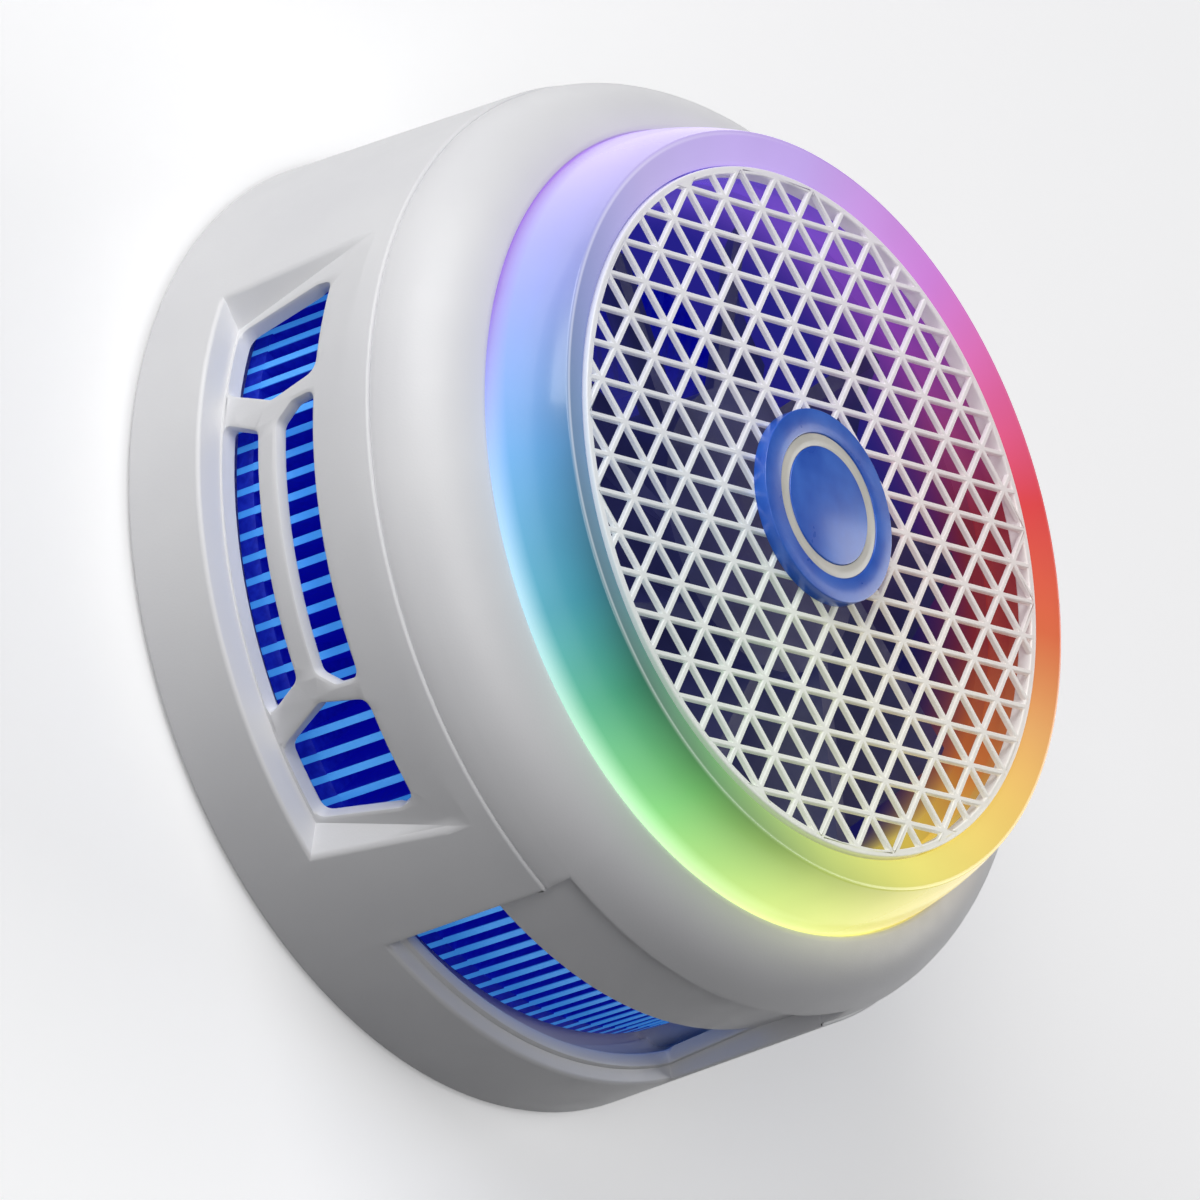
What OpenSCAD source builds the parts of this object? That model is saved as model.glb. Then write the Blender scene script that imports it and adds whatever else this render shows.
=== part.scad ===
// Magnetic phone cooler: a thermoelectric cold plate with a finned sink, an axial fan and a lit ring.
// The contact face lies on z = 0, and the fan blows along the z axis.

/* [Case] */
// How much narrower the case is at the seam, on the radius
case_draft = 0.7; // [0.3:0.1:1.2]
// Height of the case's lower edge above the contact face
foot_lift = 0.3; // [0.1:0.1:0.5]
// Wall behind the recesses of the case
case_wall = 1.3; // [1:0.1:1.6]
// Wall around the pocket for the magnet tray
rim_wall = 2; // [1.6:0.1:2.4]
// Thickness of the case floor
floor_t = 1.4; // [1.2:0.1:1.8]
// Width of the groove between the two shells
seam_gap = 0.3; // [0.1:0.05:0.5]
// Chamfer on the edges of the shells
edge_chamfer = 0.25; // [0.1:0.05:0.4]

/* [Side panels] */
// Turn of each side panel from the cross axis, towards the lower recess
panel_turn = 15; // [12:1:17]
// Angle that a side panel spans
panel_span = 75; // [72:1:76]
// Depth of a side panel at its rear step
panel_depth = 1.9; // [1.4:0.1:2.1]
// Height of a side panel from its rear step to where it runs out
panel_h = 12.2; // [11:0.1:13]
// Width of the bar between the two slots
bar_w = 1.8; // [1.2:0.1:2.4]
// Corner radius of the air windows
window_corner = 0.45; // [0.2:0.05:0.6]

/* [Lower recess] */
// Angle that the lower recess spans
recess_span = 52; // [46:1:54]
// Depth of the lower recess
recess_depth = 1.7; // [1.2:0.1:2]
// How far the lower recess cuts into the front shell
recess_rise = 1.8; // [1:0.1:2.2]

/* [Front shell] */
// Radius of the rounded shoulder
shoulder_r = 5.6; // [5:0.1:6]
// Wall of the front shell
front_wall = 1.5; // [1.2:0.1:1.8]
// Thickness of the flange that carries the ring board
flange_t = 1; // [0.8:0.1:1.2]

/* [Light ring] */
// Height of the ring's lip above the shoulder
ring_rise = 5.2; // [4.6:0.1:5.8]
// How far the ring's outer face leans in, from foot to lip
ring_lean = 1.5; // [1.1:0.1:1.7]
// Radius of the ring's bulged outer face
ring_bulge_r = 18; // [14:1:26]
// Wall of the hollow ring
ring_wall = 0.8; // [0.6:0.05:0.9]
// Number of lamps under the ring
lamp_n = 18; // [8:1:24]
// Side of a lamp
lamp_w = 1.4; // [1:0.1:1.5]
// Height of a lamp
lamp_h = 0.8; // [0.5:0.1:1]
// Gap between a lamp and the ring's walls
lamp_gap = 0.35; // [0.25:0.05:0.6]

/* [Grille] */
// Height of the grille's rim
grille_t = 1.15; // [0.8:0.05:1.4]
// Width of the grille's plain rim
grille_rim = 0.5; // [0.4:0.1:1]
// Thickness of the lattice
lattice_t = 0.35; // [0.3:0.05:0.6]
// Base of one lattice triangle
lattice_base = 3.82; // [3.2:0.02:5]
// Distance between two rows of the lattice
lattice_row = 2.52; // [2.2:0.02:3.6]
// Width of a lattice rib
rib_w = 0.35; // [0.3:0.05:0.7]
// Turn of the lattice
lattice_turn = 10.7; // [0:0.1:60]
// Diameter of the round badge
badge_d = 13; // [9:0.5:17]
// Height of the badge above the grille
badge_h = 1; // [0.6:0.1:1.4]

/* [Cold side] */
// Thickness of the contact pad
pad_t = 0.5; // [0.4:0.05:0.7]
// From a corner of the module to the edge of the cold plate
plate_margin = 0.59; // [0.4:0.01:2]
// Thickness of the cold plate
plate_t = 2.4; // [2:0.1:2.8]
// Side of the thermoelectric module
module_w = 30; // [26:0.5:40]
// Thickness of one ceramic plate of the module
ceramic_t = 0.7; // [0.5:0.05:0.9]
// Height of the pellets between the ceramics
pellet_h = 1.6; // [1.2:0.1:2]
// Pellets along one side of the module
pellet_n = 8; // [4:1:10]
// Thickness of the thermal pad under the sink
thermal_pad_t = 0.3; // [0.2:0.05:0.5]

/* [Magnets] */
// Radial width of the magnet segments
magnet_w = 4.6; // [3.6:0.1:5.2]
// Thickness of the magnet segments
magnet_h = 2; // [1.6:0.1:2.2]
// Number of magnet segments
magnet_n = 16; // [8:1:24]
// Thickness of the steel plate behind the magnets
back_plate_t = 0.3; // [0.2:0.05:0.4]
// Inner wall of the magnet tray
tray_wall = 1; // [0.8:0.1:2]
// Outer wall of the magnet tray
tray_rim = 2.6; // [2:0.1:5]
// Floor of the magnet tray
tray_floor = 0.4; // [0.3:0.05:0.6]

/* [Heat sink] */
// Thickness of the sink's plate
sink_plate_t = 1.4; // [1:0.1:2]
// Height of the fins
fin_h = 7.6; // [6.6:0.1:9]
// Thickness of a fin
fin_t = 0.5; // [0.3:0.05:0.55]
// Angle between fins
fin_pitch = 3; // [3:0.25:6]
// Angle between the finer fins behind the lower recess
fine_pitch = 2.5; // [2.5:0.25:5]

/* [Fan] */
// Wall of the fan duct
duct_wall = 1.2; // [1:0.1:1.5]
// Gap between the blade tips and the duct
tip_gap = 0.6; // [0.3:0.1:1]
// Height of the impeller
impeller_h = 8.6; // [7.6:0.1:9.4]
// Diameter of the impeller's hub
hub_d = 19.2; // [18.4:0.2:22]
// Number of blades
blade_n = 9; // [5:1:11]
// Thickness of a blade
blade_t = 0.9; // [0.6:0.1:1.2]
// Radius of the blades' camber
camber_r = 20; // [16:1:30]
// Diameter of the fan shaft
shaft_d = 1.5; // [1.2:0.1:2]
// Radial running clearance of the shaft in its bearing
run_clear = 0.02; // [0.01:0.01:0.06]
// Wall of the sleeve bearing
bearing_wall = 1; // [0.8:0.1:1.2]

/* [Boards and inlet] */
// Thickness of the control board
board_t = 1; // [0.8:0.1:1.6]
// Thickness of the ring board and the motor board
thin_board_t = 0.7; // [0.5:0.1:0.8]
// Width of the power inlet
inlet_w = 8.94; // [8.3:0.02:9.2]
// Height of the power inlet
inlet_h = 3.26; // [3.1:0.02:3.6]
// Depth of the power inlet
inlet_depth = 7.35; // [6.5:0.05:7.5]
// Sheet thickness of the power inlet
inlet_sheet = 0.3; // [0.2:0.05:0.4]
// Diameter of the two module leads
lead_d = 1.2; // [0.8:0.1:1.4]

/* [Screws] */
// Diameter of all screw shanks
screw_d = 2; // [1.6:0.1:2.2]
// Diameter of all screw heads
head_d = 3.5; // [3.2:0.1:3.8]
// Height of all screw heads
head_h = 1.2; // [1:0.1:1.2]

/* [Hidden] */
$fn = 96;

// Clearances that pieces share
over = 1;             // how far a cut runs past a face
slip = 0.1;           // radial gap of parts that drop into each other
loose = 0.3;          // gap around parts that pass each other
thread_clear = 0.01;  // screw shank in its thread
hole_clear = 0.1;     // screw shank in a plain hole

// Levels of the cold side, from the contact face up
plate_z1 = pad_t + plate_t;
cold_z1 = plate_z1 + ceramic_t;
hot_z0 = cold_z1 + pellet_h;
hot_z1 = hot_z0 + ceramic_t;
sink_z0 = hot_z1 + thermal_pad_t;
fin_z0 = sink_z0 + sink_plate_t;
fin_z1 = fin_z0 + fin_h;
groove_z0 = pad_t + tray_floor;
tray_z1 = groove_z0 + magnet_h + back_plate_t;
floor_z1 = tray_z1 + floor_t;

// Levels of the boards and the seam
inlet_lift = 0.44;
inlet_z0 = fin_z1 + inlet_lift;
board_z0 = inlet_z0 + inlet_h;
board_z1 = board_z0 + board_t;
seam_z = board_z1 + slip;
body_z1 = seam_z - seam_gap / 2;
front_z0 = seam_z + seam_gap / 2;
lip_h = 0.75;         // tongue of the body that enters the front shell

// Radii of the rear, from the module out to the case
plate_r = module_w / sqrt(2) + plate_margin;
tray_r0 = plate_r + 4 * slip;
magnet_r0 = tray_r0 + tray_wall;
magnet_r1 = magnet_r0 + magnet_w;
tray_r1 = magnet_r1 + tray_rim;

// Radii of the case
base_r = tray_r1 + slip + rim_wall;
seam_r = base_r - case_draft;
front_r = seam_r - slip;
pocket_r = tray_r1 + slip;
panel_z0 = sink_z0;
panel_z1 = panel_z0 + panel_h;
panel_r0 = wall_r(panel_z0) - panel_depth;
bore_r0 = panel_r0 - case_wall;
bore_r1 = panel_r(fin_z1) - case_wall;
recess_r = wall_r(panel_z0) - recess_depth;
recess_z1 = seam_z + recess_rise;
recess_a = 270;
panel_angles = [180 + panel_turn, 360 - panel_turn];
tongue_r0 = recess_r - case_wall;

// Air windows: all lie between the sink plate and the fin tops
window_z0 = fin_z0 - 0.4;
window_z1 = fin_z1 - 0.2;
window_mid = (window_z0 + window_z1) / 2;
window_depth = 12;
slot_low_a = 15.2;    // half angle of the lower slot at its top edge
slot_high_a = 15.2;   // half angle of the upper slot at its lower edge
end_window_a = 26.5;  // angle from the panel's centre to the middle of an end window

// Fan duct, light ring and grille
crown_gap = 0.75;     // part of the shoulder arc that the ring cuts off
shoulder_c = front_r - shoulder_r;
shoulder_z = seam_z + 0.2;
ring_r1 = shoulder_c + crown_gap;
ring_r0 = ring_r1 - 2 * ring_wall - lamp_w - 2 * lamp_gap;
duct_r1 = ring_r0 - slip;
duct_r0 = duct_r1 - duct_wall;
ring_foot_z = shoulder_z + sqrt(pow(shoulder_r, 2) - pow(crown_gap, 2));
ring_seat = 1.85;     // depth of the ring's seat below the shoulder
flange_z1 = ring_foot_z - ring_seat;
flange_z0 = flange_z1 - flange_t;
ring_board_z1 = flange_z1 + thin_board_t;
ring_z0 = ring_board_z1 + slip;
lip_z = ring_foot_z + ring_rise;
lip_r = ring_r1 - ring_lean;
grille_sink = 0.3;    // grille face below the ring's lip
grille_z1 = lip_z - grille_sink;
grille_z0 = grille_z1 - grille_t;
grille_r = ring_r0 - slip;
grille_seat_t = 0.9;
grille_seat_w = 0.6;
ledge_drop = 0.25;    // ring's inner ledge below the grille face
lamp_r = (ring_r0 + ring_r1) / 2;

// Screw places
case_screw_angles = [60, 120, 238, 302];
case_screw_r = pocket_r - head_d / 2 - 2 * loose;
boss_r = 1.9;
boss_in = case_screw_r - boss_r;
web_w = 2;            // web between a boss and the case wall
fan_screw_angles = [30, 150, 270];
fan_screw_r = duct_r1 + head_d / 2 + loose + 0.1;
fan_post_r = 1.6;
fan_thread_l = 3.2;
ear_t = 1.2;
ear_r = 2;
sink_screw_angles = [20, 160, 200, 340];
sink_screw_inset = 3.2;
sink_screw_r = plate_r - sink_screw_inset;

// Heat sink and its surroundings
sink_r = bore_r0 - 5 * slip;
gasket_w = 3.6;
lead_a = 108;
lead_gap = 2.4;
lead_slot_w = lead_gap + lead_d + 2 * loose;
lead_r1 = bore_r0 - lead_d / 2 - 1.1;
lead_z = sink_z0 - lead_d / 2 - 0.2;
fin_lead_r = lead_r1 - lead_d / 2 - loose;

// Fan and motor
frame_z0 = fin_z1 + 0.2;
strut_h = 1.2;
hub_plate_t = 1;
rotor_z0 = frame_z0 + strut_h + 0.8;
rotor_z1 = rotor_z0 + impeller_h;
duct_z1 = rotor_z1 + 0.6;
tip_r = duct_r0 - tip_gap;
hub_r = hub_d / 2;
hub_wall = 1.1;
yoke_t = 0.6;
hub_top = 1.4;
yoke_r = hub_r - hub_wall - thread_clear;
rotor_magnet_t = 1;
rotor_magnet_r1 = yoke_r - yoke_t - thread_clear;
rotor_magnet_r0 = rotor_magnet_r1 - rotor_magnet_t;
yoke_z1 = rotor_z1 - hub_top;
tube_z1 = yoke_z1 - yoke_t - 0.5;
hub_plate_z1 = frame_z0 + hub_plate_t;
shaft_r = shaft_d / 2;
bearing_r = shaft_r + run_clear + bearing_wall;
tube_r0 = bearing_r + thread_clear;
tube_wall = 0.7;
tube_r1 = tube_r0 + tube_wall;
thrust_t = 0.3;
clip_z0 = hub_plate_z1 + thrust_t + 0.2;
clip_t = 0.4;
bearing_z0 = clip_z0 + clip_t + 0.1;
core_gap = 0.4;
core_r1 = rotor_magnet_r0 - core_gap;
core_lift = 1;
core_z0 = rotor_z0 + core_lift;
core_drop = 2.4;
core_z1 = yoke_z1 - yoke_t - core_drop;
core_ring_t = 1;
pole_n = 4;
pole_w = 1.6;
shoe_t = 0.8;
coil_t = 0.6;
coil_over = 0.8;
coil_half_w = pole_w / 2 + slip + coil_t;
coil_r0 = tube_r1 + core_ring_t + slip;
coil_r1 = sqrt(pow(core_r1 - shoe_t, 2) - pow(coil_half_w, 2)) - slip;
hub_plate_r = hub_r - 0.4;
strut_r0 = hub_plate_r - 0.3;
motor_board_z1 = hub_plate_z1 + thin_board_t;

// Parts on the control board
choke_w = 3.6;
choke_h = 1.7;
chip_w = 3.4;
chip_h = 0.9;
cap_w = 1.5;
cap_h = 0.8;

// Radius of the case's outer face at height z
function wall_r(z) = base_r - case_draft * z / seam_z;
// Radius of a side panel's floor at height z
function panel_r(z) = panel_r0 + (wall_r(panel_z1) - panel_r0) * (z - panel_z0) / panel_h;
// Point at radius r and angle a
function polar(r, a) = [r * cos(a), r * sin(a)];
// True where two angles lie within w of each other
function near(a, b, w) = abs((a - b + 540) % 360 - 180) < w;
function near_any(a, list, w) = len([for (b = list) if (near(a, b, w)) b]) > 0;
// Centre of the arc of radius r that runs from a to b and bulges to its right
function arc_centre(a, b, r) =
    let (d = b - a, n = [d[1], -d[0]] / norm(d))
    (a + b) / 2 - n * sqrt(r * r - norm(d) * norm(d) / 4);
// Points of an arc of radius r in the corner q between p and s
function corner_arc(p, q, s, r, steps = 4) =
    let (u = (p - q) / norm(p - q), v = (s - q) / norm(s - q), half = acos(u * v) / 2)
    let (c = q + (u + v) / norm(u + v) * r / sin(half), m = q + u * r / tan(half) - c)
    let (turn = (180 - 2 * half) * sign(u[1] * v[0] - u[0] * v[1]))
    [for (i = [0:steps]) let (t = turn * i / steps)
        c + [m[0] * cos(t) - m[1] * sin(t), m[0] * sin(t) + m[1] * cos(t)]];
// Outline with every corner rounded
function rounded(points, r) =
    let (n = len(points))
    [for (i = [0:n - 1]) each corner_arc(points[(i + n - 1) % n], points[i], points[(i + 1) % n], r)];

// Round plate with a hole
module ring(r0, r1, z0, z1) {
    translate([0, 0, z0])
        rotate_extrude()
            translate([r0, 0])
                square([r1 - r0, z1 - z0]);
}

module disc(r, z0, z1) {
    translate([0, 0, z0])
        cylinder(r = r, h = z1 - z0);
}

// Part of a ring between the angles a0 and a1
module sector(r0, r1, z0, z1, a0, a1) {
    rotate([0, 0, a0])
        rotate_extrude(angle = a1 - a0)
            translate([r0, z0])
                square([r1 - r0, z1 - z0]);
}

// Square plate centred on the axis
module plate(w, z0, z1) {
    translate([-w / 2, -w / 2, z0])
        cube([w, w, z1 - z0]);
}

// Children moved to radius r at each angle of a list
module around(angles, r) {
    for (a = angles)
        rotate([0, 0, a])
            translate([r, 0, 0])
                children();
}

// Outline in tangent and height, cut outwards along the radius at angle a
module radial_cut(a) {
    rotate([0, 0, a])
        rotate([90, 0, 90])
            translate([0, 0, base_r - window_depth])
                linear_extrude(2 * window_depth)
                    children();
}

// Screw with its head below the seat at z and its shank above
module screw_up(z, length) {
    socket_d = head_d / 2;
    difference() {
        union() {
            disc(head_d / 2, z - head_h, z);
            disc(screw_d / 2, z, z + length);
        }
        translate([0, 0, z - head_h - over])
            cylinder(d = socket_d, h = over + head_h / 2, $fn = 6);
    }
}

// Way for the two leads, from radius r0 outwards
module lead_slot(r0, z0, z1) {
    rotate([0, 0, lead_a])
        translate([r0, -lead_slot_w / 2, z0])
            cube([base_r - r0, lead_slot_w, z1 - z0]);
}

// One end of a slot: its reach at the lower and upper edge and at the knee between
module slot_end(a, z0, z1, reach_low, reach_knee, reach_high) {
    knee_z = z0 + (z1 - z0) * 0.4;
    for (side = [0, 1])
        mirror([0, side, 0])
            radial_cut(a)
                polygon(rounded([
                    [-2, z0], [reach_low, z0], [reach_knee, knee_z], [reach_high, z1], [-2, z1]
                ], window_corner));
}

// The four air windows of a side panel, seen from the panel's centre
module panel_windows() {
    low_z1 = window_mid - bar_w / 2;
    high_z0 = window_mid + bar_w / 2;
    r0 = base_r - window_depth;
    r1 = base_r + over;
    sector(r0, r1, window_z0, low_z1, -slot_low_a, slot_low_a);
    slot_end(slot_low_a, window_z0, low_z1, 1.65, 1, 0.1);
    sector(r0, r1, high_z0, window_z1, -slot_high_a, slot_high_a);
    slot_end(slot_high_a, high_z0, window_z1, 0.1, 1.15, 1.2);
    waist_z = window_z0 + (window_z1 - window_z0) * 0.5;
    knee_z = window_z1 - 1.4;
    for (side = [0, 1])
        mirror([0, side, 0])
            radial_cut(end_window_a)
                polygon(rounded([
                    [-3.35, window_z1], [-4.05, waist_z], [-2.1, window_z0],
                    [2.85, window_z0], [3.7, knee_z], [3.35, window_z1]
                ], window_corner));
}

// Hollow that a side panel takes out of the case
module panel_hollow() {
    top = panel_z1 + over;
    rotate([0, 0, -panel_span / 2])
        rotate_extrude(angle = panel_span)
            polygon([
                [panel_r0, panel_z0], [base_r + over, panel_z0],
                [base_r + over, top], [panel_r(top), top]
            ]);
}

// Hollow of the lower recess, with a sloped lip at its rear
module recess_hollow() {
    lip_fall = 1.2;
    rotate([0, 0, recess_a - recess_span / 2])
        rotate_extrude(angle = recess_span)
            polygon([
                [recess_r, panel_z0 + 0.6], [base_r + over, panel_z0 + 0.6 - lip_fall],
                [base_r + over, recess_z1 + over], [recess_r, recess_z1 + over]
            ]);
}

module contact_pad() {
    color("#8d9196")
        disc(plate_r, 0, pad_t);
}

module cold_plate() {
    thread_end = pad_t + 0.8;
    color("#c9ccd0")
        difference() {
            disc(plate_r, pad_t, plate_z1);
            around(sink_screw_angles, sink_screw_r)
                disc(screw_d / 2 + thread_clear, thread_end, plate_z1 + over);
        }
}

module grip_ring() {
    color("#3a3c40")
        ring(tray_r0, tray_r1, 0, pad_t);
}

module magnet_tray() {
    color("#e2e3e5")
        difference() {
            ring(tray_r0, tray_r1, pad_t, tray_z1);
            ring(magnet_r0, magnet_r1, groove_z0, tray_z1 + over);
        }
}

module magnets() {
    step = 360 / magnet_n;
    gap = 1.2;
    color("#9a9da1")
        for (i = [0:magnet_n - 1])
            sector(magnet_r0 + slip, magnet_r1 - slip, groove_z0, groove_z0 + magnet_h,
                   i * step + gap, (i + 1) * step - gap);
}

module magnet_back_plate() {
    color("#7d8084")
        ring(magnet_r0 + slip, magnet_r1 - slip, tray_z1 - back_plate_t, tray_z1);
}

module body_shell() {
    lip_r1 = (bore_r1 + seam_r) / 2;
    bar_back = 1;
    inlet_z = inlet_z0 + inlet_h / 2;
    color("#eceded")
        difference() {
            union() {
                rotate_extrude()
                    polygon([
                        [tray_r0, tray_z1], [pocket_r, tray_z1], [pocket_r, foot_lift],
                        [base_r - edge_chamfer, foot_lift], [base_r, foot_lift + edge_chamfer],
                        [wall_r(body_z1 - edge_chamfer), body_z1 - edge_chamfer],
                        [wall_r(body_z1) - edge_chamfer, body_z1],
                        [lip_r1, body_z1], [lip_r1, body_z1 + lip_h],
                        [bore_r1, body_z1 + lip_h], [bore_r1, fin_z1],
                        [bore_r0, panel_z0], [bore_r0, floor_z1], [tray_r0, floor_z1]
                    ]);
                sector(tongue_r0, bore_r1 + bar_back, floor_z1 - over / 2, body_z1,
                       recess_a - recess_span / 2 - 2, recess_a + recess_span / 2 + 2);
                sector(tongue_r0, recess_r + over / 2, body_z1 - over, recess_z1 - slip,
                       recess_a - recess_span / 2 + 0.4, recess_a + recess_span / 2 - 0.4);
                around(case_screw_angles, case_screw_r) {
                    disc(boss_r, floor_z1 - over / 2, board_z0);
                    translate([0, -web_w / 2, floor_z1 - over / 2])
                        cube([bore_r1 + 0.4 - case_screw_r, web_w, board_z0 - floor_z1 + over / 2]);
                }
            }
            for (a = panel_angles)
                rotate([0, 0, a]) {
                    panel_hollow();
                    panel_windows();
                }
            recess_hollow();
            sector(base_r - window_depth, base_r + over, window_z0, window_z1,
                   recess_a - recess_span / 2 + 1, recess_a + recess_span / 2 - 1);
            around(case_screw_angles, case_screw_r) {
                disc(head_d / 2 + slip, tray_z1 - over, tray_z1 + head_h);
                disc(screw_d / 2 + hole_clear, tray_z1, board_z0 + over);
            }
            translate([0, base_r - window_depth / 2, inlet_z])
                inlet_prism(slip, window_depth);
        }
}

module insulation_frame() {
    color("#2b2c2f")
        difference() {
            disc(plate_r, plate_z1, sink_z0);
            plate(module_w + 2 * slip, plate_z1 - over, sink_z0 + over);
            around(sink_screw_angles, sink_screw_r)
                disc(screw_d / 2 + hole_clear, plate_z1 - over, sink_z0 + over);
            lead_slot(module_w / 2 - over, lead_z - lead_d / 2 - slip, sink_z0 + over);
        }
}

module module_cold_ceramic() {
    color("#f3f3ef")
        plate(module_w, plate_z1, cold_z1);
}

module module_pellets() {
    pitch = (module_w - 2) / pellet_n;
    pellet_w = pitch * 0.55;
    color("#8a8d92")
        for (i = [0:pellet_n - 1], j = [0:pellet_n - 1])
            translate([(i - (pellet_n - 1) / 2) * pitch, (j - (pellet_n - 1) / 2) * pitch, 0])
                plate(pellet_w, cold_z1, hot_z0);
}

module module_hot_ceramic() {
    color("#f3f3ef")
        plate(module_w, hot_z0, hot_z1);
}

module module_leads() {
    start_r = module_w / 2 / sin(lead_a) + lead_gap * 0.4;
    color("#b3372f")
        rotate([0, 0, lead_a])
            for (side = [-1, 1])
                translate([0, side * lead_gap / 2, 0]) {
                    translate([start_r, 0, lead_z])
                        rotate([0, 90, 0])
                            cylinder(d = lead_d, h = lead_r1 - start_r);
                    translate([lead_r1, 0, lead_z])
                        sphere(d = lead_d);
                    translate([lead_r1, 0, lead_z])
                        cylinder(d = lead_d, h = board_z0 - lead_z);
                }
}

module thermal_pad() {
    color("#c7c9c4")
        plate(module_w, hot_z1, sink_z0);
}

module sink_gasket() {
    color("#2b2c2f")
        difference() {
            ring(tray_r0 + slip, min(tray_r0 + gasket_w, boss_in - loose), floor_z1, sink_z0);
            lead_slot(plate_r - over, floor_z1 - over, sink_z0 + over);
        }
}

module sink_plate() {
    color("#3f6fd8")
        difference() {
            disc(sink_r, sink_z0, fin_z0);
            around(sink_screw_angles, sink_screw_r)
                disc(screw_d / 2 + hole_clear, sink_z0 - over, fin_z0 + over);
            around(case_screw_angles, case_screw_r)
                disc(boss_r + loose, sink_z0 - over, fin_z0 + over);
            lead_slot(fin_lead_r, sink_z0 - over, fin_z0 + over);
        }
}

module sink_fins() {
    fine_over = 4;
    fine_span = recess_span + 2 * fine_over;
    fine_n = round(fine_span / fine_pitch);
    wide_n = round((360 - fine_span) / fin_pitch);
    wide_a0 = recess_a + fine_span / 2;
    angles = concat(
        [for (i = [0:fine_n - 1]) recess_a - fine_span / 2 + (i + 0.5) * fine_span / fine_n],
        [for (i = [0:wide_n - 1]) (wide_a0 + (i + 0.5) * (360 - fine_span) / wide_n) % 360]
    );
    long_r0 = 13;
    short_r0 = 18;
    screw_r0 = sink_screw_r + head_d / 2 + loose;
    lead_turn = atan((lead_slot_w + fin_t) / 2 / fin_lead_r);
    boss_turn = asin((boss_r + loose + fin_t / 2) / case_screw_r);
    screw_turn = asin((head_d / 2 + loose + fin_t / 2) / sink_screw_r);
    color("#3f6fd8")
        for (i = [0:len(angles) - 1]) {
            a = angles[i];
            own_r0 = i % 2 == 0 ? long_r0 : short_r0;
            r0 = near_any(a, sink_screw_angles, screw_turn) ? screw_r0 : own_r0;
            cut_r1 = near(a, lead_a, lead_turn) ? fin_lead_r : sink_r;
            r1 = near_any(a, case_screw_angles, boss_turn) ? boss_in - loose : cut_r1;
            rotate([0, 0, a])
                translate([r0, -fin_t / 2, fin_z0])
                    cube([r1 - r0, fin_t, fin_h]);
        }
}

module sink_screws() {
    thread_gap = 0.2;
    length = fin_z0 - pad_t - 0.8 - thread_gap;
    color("#b9bcc0")
        around(sink_screw_angles, sink_screw_r)
            translate([0, 0, fin_z0])
                mirror([0, 0, 1])
                    screw_up(0, length);
}

module fan_frame() {
    strut_w = 2.2;
    strut_n = 4;
    ear_z0 = frame_z0 + head_h;
    color("#26282c")
        difference() {
            union() {
                ring(duct_r0, duct_r1, frame_z0, duct_z1);
                disc(hub_plate_r, frame_z0, hub_plate_z1);
                ring(tube_r0, tube_r1, frame_z0, tube_z1);
                around([for (i = [0:strut_n - 1]) (i + 0.5) * 360 / strut_n], 0)
                    translate([strut_r0, -strut_w / 2, frame_z0])
                        cube([duct_r0 + duct_wall / 2 - strut_r0, strut_w, strut_h]);
                around(fan_screw_angles, fan_screw_r) {
                    disc(ear_r, ear_z0, ear_z0 + ear_t);
                    translate([-fan_screw_r + duct_r0 + duct_wall / 2, -ear_r, ear_z0])
                        cube([fan_screw_r - duct_r0 - duct_wall / 2, 2 * ear_r, ear_t]);
                }
            }
            around(fan_screw_angles, fan_screw_r)
                disc(screw_d / 2 + hole_clear, ear_z0 - over, ear_z0 + ear_t + over);
        }
}

module fan_screws() {
    color("#b9bcc0")
        around(fan_screw_angles, fan_screw_r)
            screw_up(frame_z0 + head_h, ear_t + fan_thread_l);
}

module motor_board() {
    color("#1d5a38")
        ring(tube_r1 + slip, strut_r0 - slip, hub_plate_z1, motor_board_z1);
}

module stator_core() {
    shoe_a = 32;
    color("#70747a")
        union() {
            ring(tube_r1 + thread_clear, tube_r1 + core_ring_t, core_z0, core_z1);
            for (i = [0:pole_n - 1])
                rotate([0, 0, i * 360 / pole_n]) {
                    translate([tube_r1 + core_ring_t / 2, -pole_w / 2, core_z0])
                        cube([core_r1 - tube_r1 - core_ring_t / 2 - shoe_t / 2, pole_w, core_z1 - core_z0]);
                    sector(core_r1 - shoe_t, core_r1, core_z0, core_z1, -shoe_a, shoe_a);
                }
        }
}

module stator_coils() {
    color("#b0672e")
        for (i = [0:pole_n - 1])
            rotate([0, 0, i * 360 / pole_n])
                difference() {
                    translate([coil_r0, -coil_half_w, core_z0 - coil_over])
                        cube([coil_r1 - coil_r0, 2 * coil_half_w,
                              core_z1 - core_z0 + 2 * coil_over]);
                    translate([coil_r0 - over, -pole_w / 2 - slip, core_z0 - slip])
                        cube([coil_r1 - coil_r0 + 2 * over, pole_w + 2 * slip,
                              core_z1 - core_z0 + 2 * slip]);
                }
}

module sleeve_bearing() {
    color("#b98a4a")
        ring(shaft_r + run_clear, bearing_r, bearing_z0, tube_z1 - 0.2);
}

module thrust_pad() {
    color("#f0f0f0")
        disc(tube_r0 - slip, hub_plate_z1, hub_plate_z1 + thrust_t);
}

module shaft() {
    color("#c4c7cb")
        disc(shaft_r, hub_plate_z1 + thrust_t + 0.05, rotor_z1 - 0.5);
}

module shaft_clip() {
    color("#e8e8e8")
        ring(shaft_r + thread_clear, tube_r0 - 2 * slip, clip_z0, clip_z0 + clip_t);
}

module rotor_magnet() {
    color("#4a4c50")
        ring(rotor_magnet_r0, rotor_magnet_r1, rotor_z0 + 0.2, yoke_z1 - yoke_t - 1);
}

module rotor_yoke() {
    color("#8b8e93")
        difference() {
            disc(yoke_r, rotor_z0, yoke_z1);
            disc(yoke_r - yoke_t, rotor_z0 - over, yoke_z1 - yoke_t);
            disc(shaft_r + thread_clear, yoke_z1 - yoke_t - over, yoke_z1 + over);
        }
}

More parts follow.
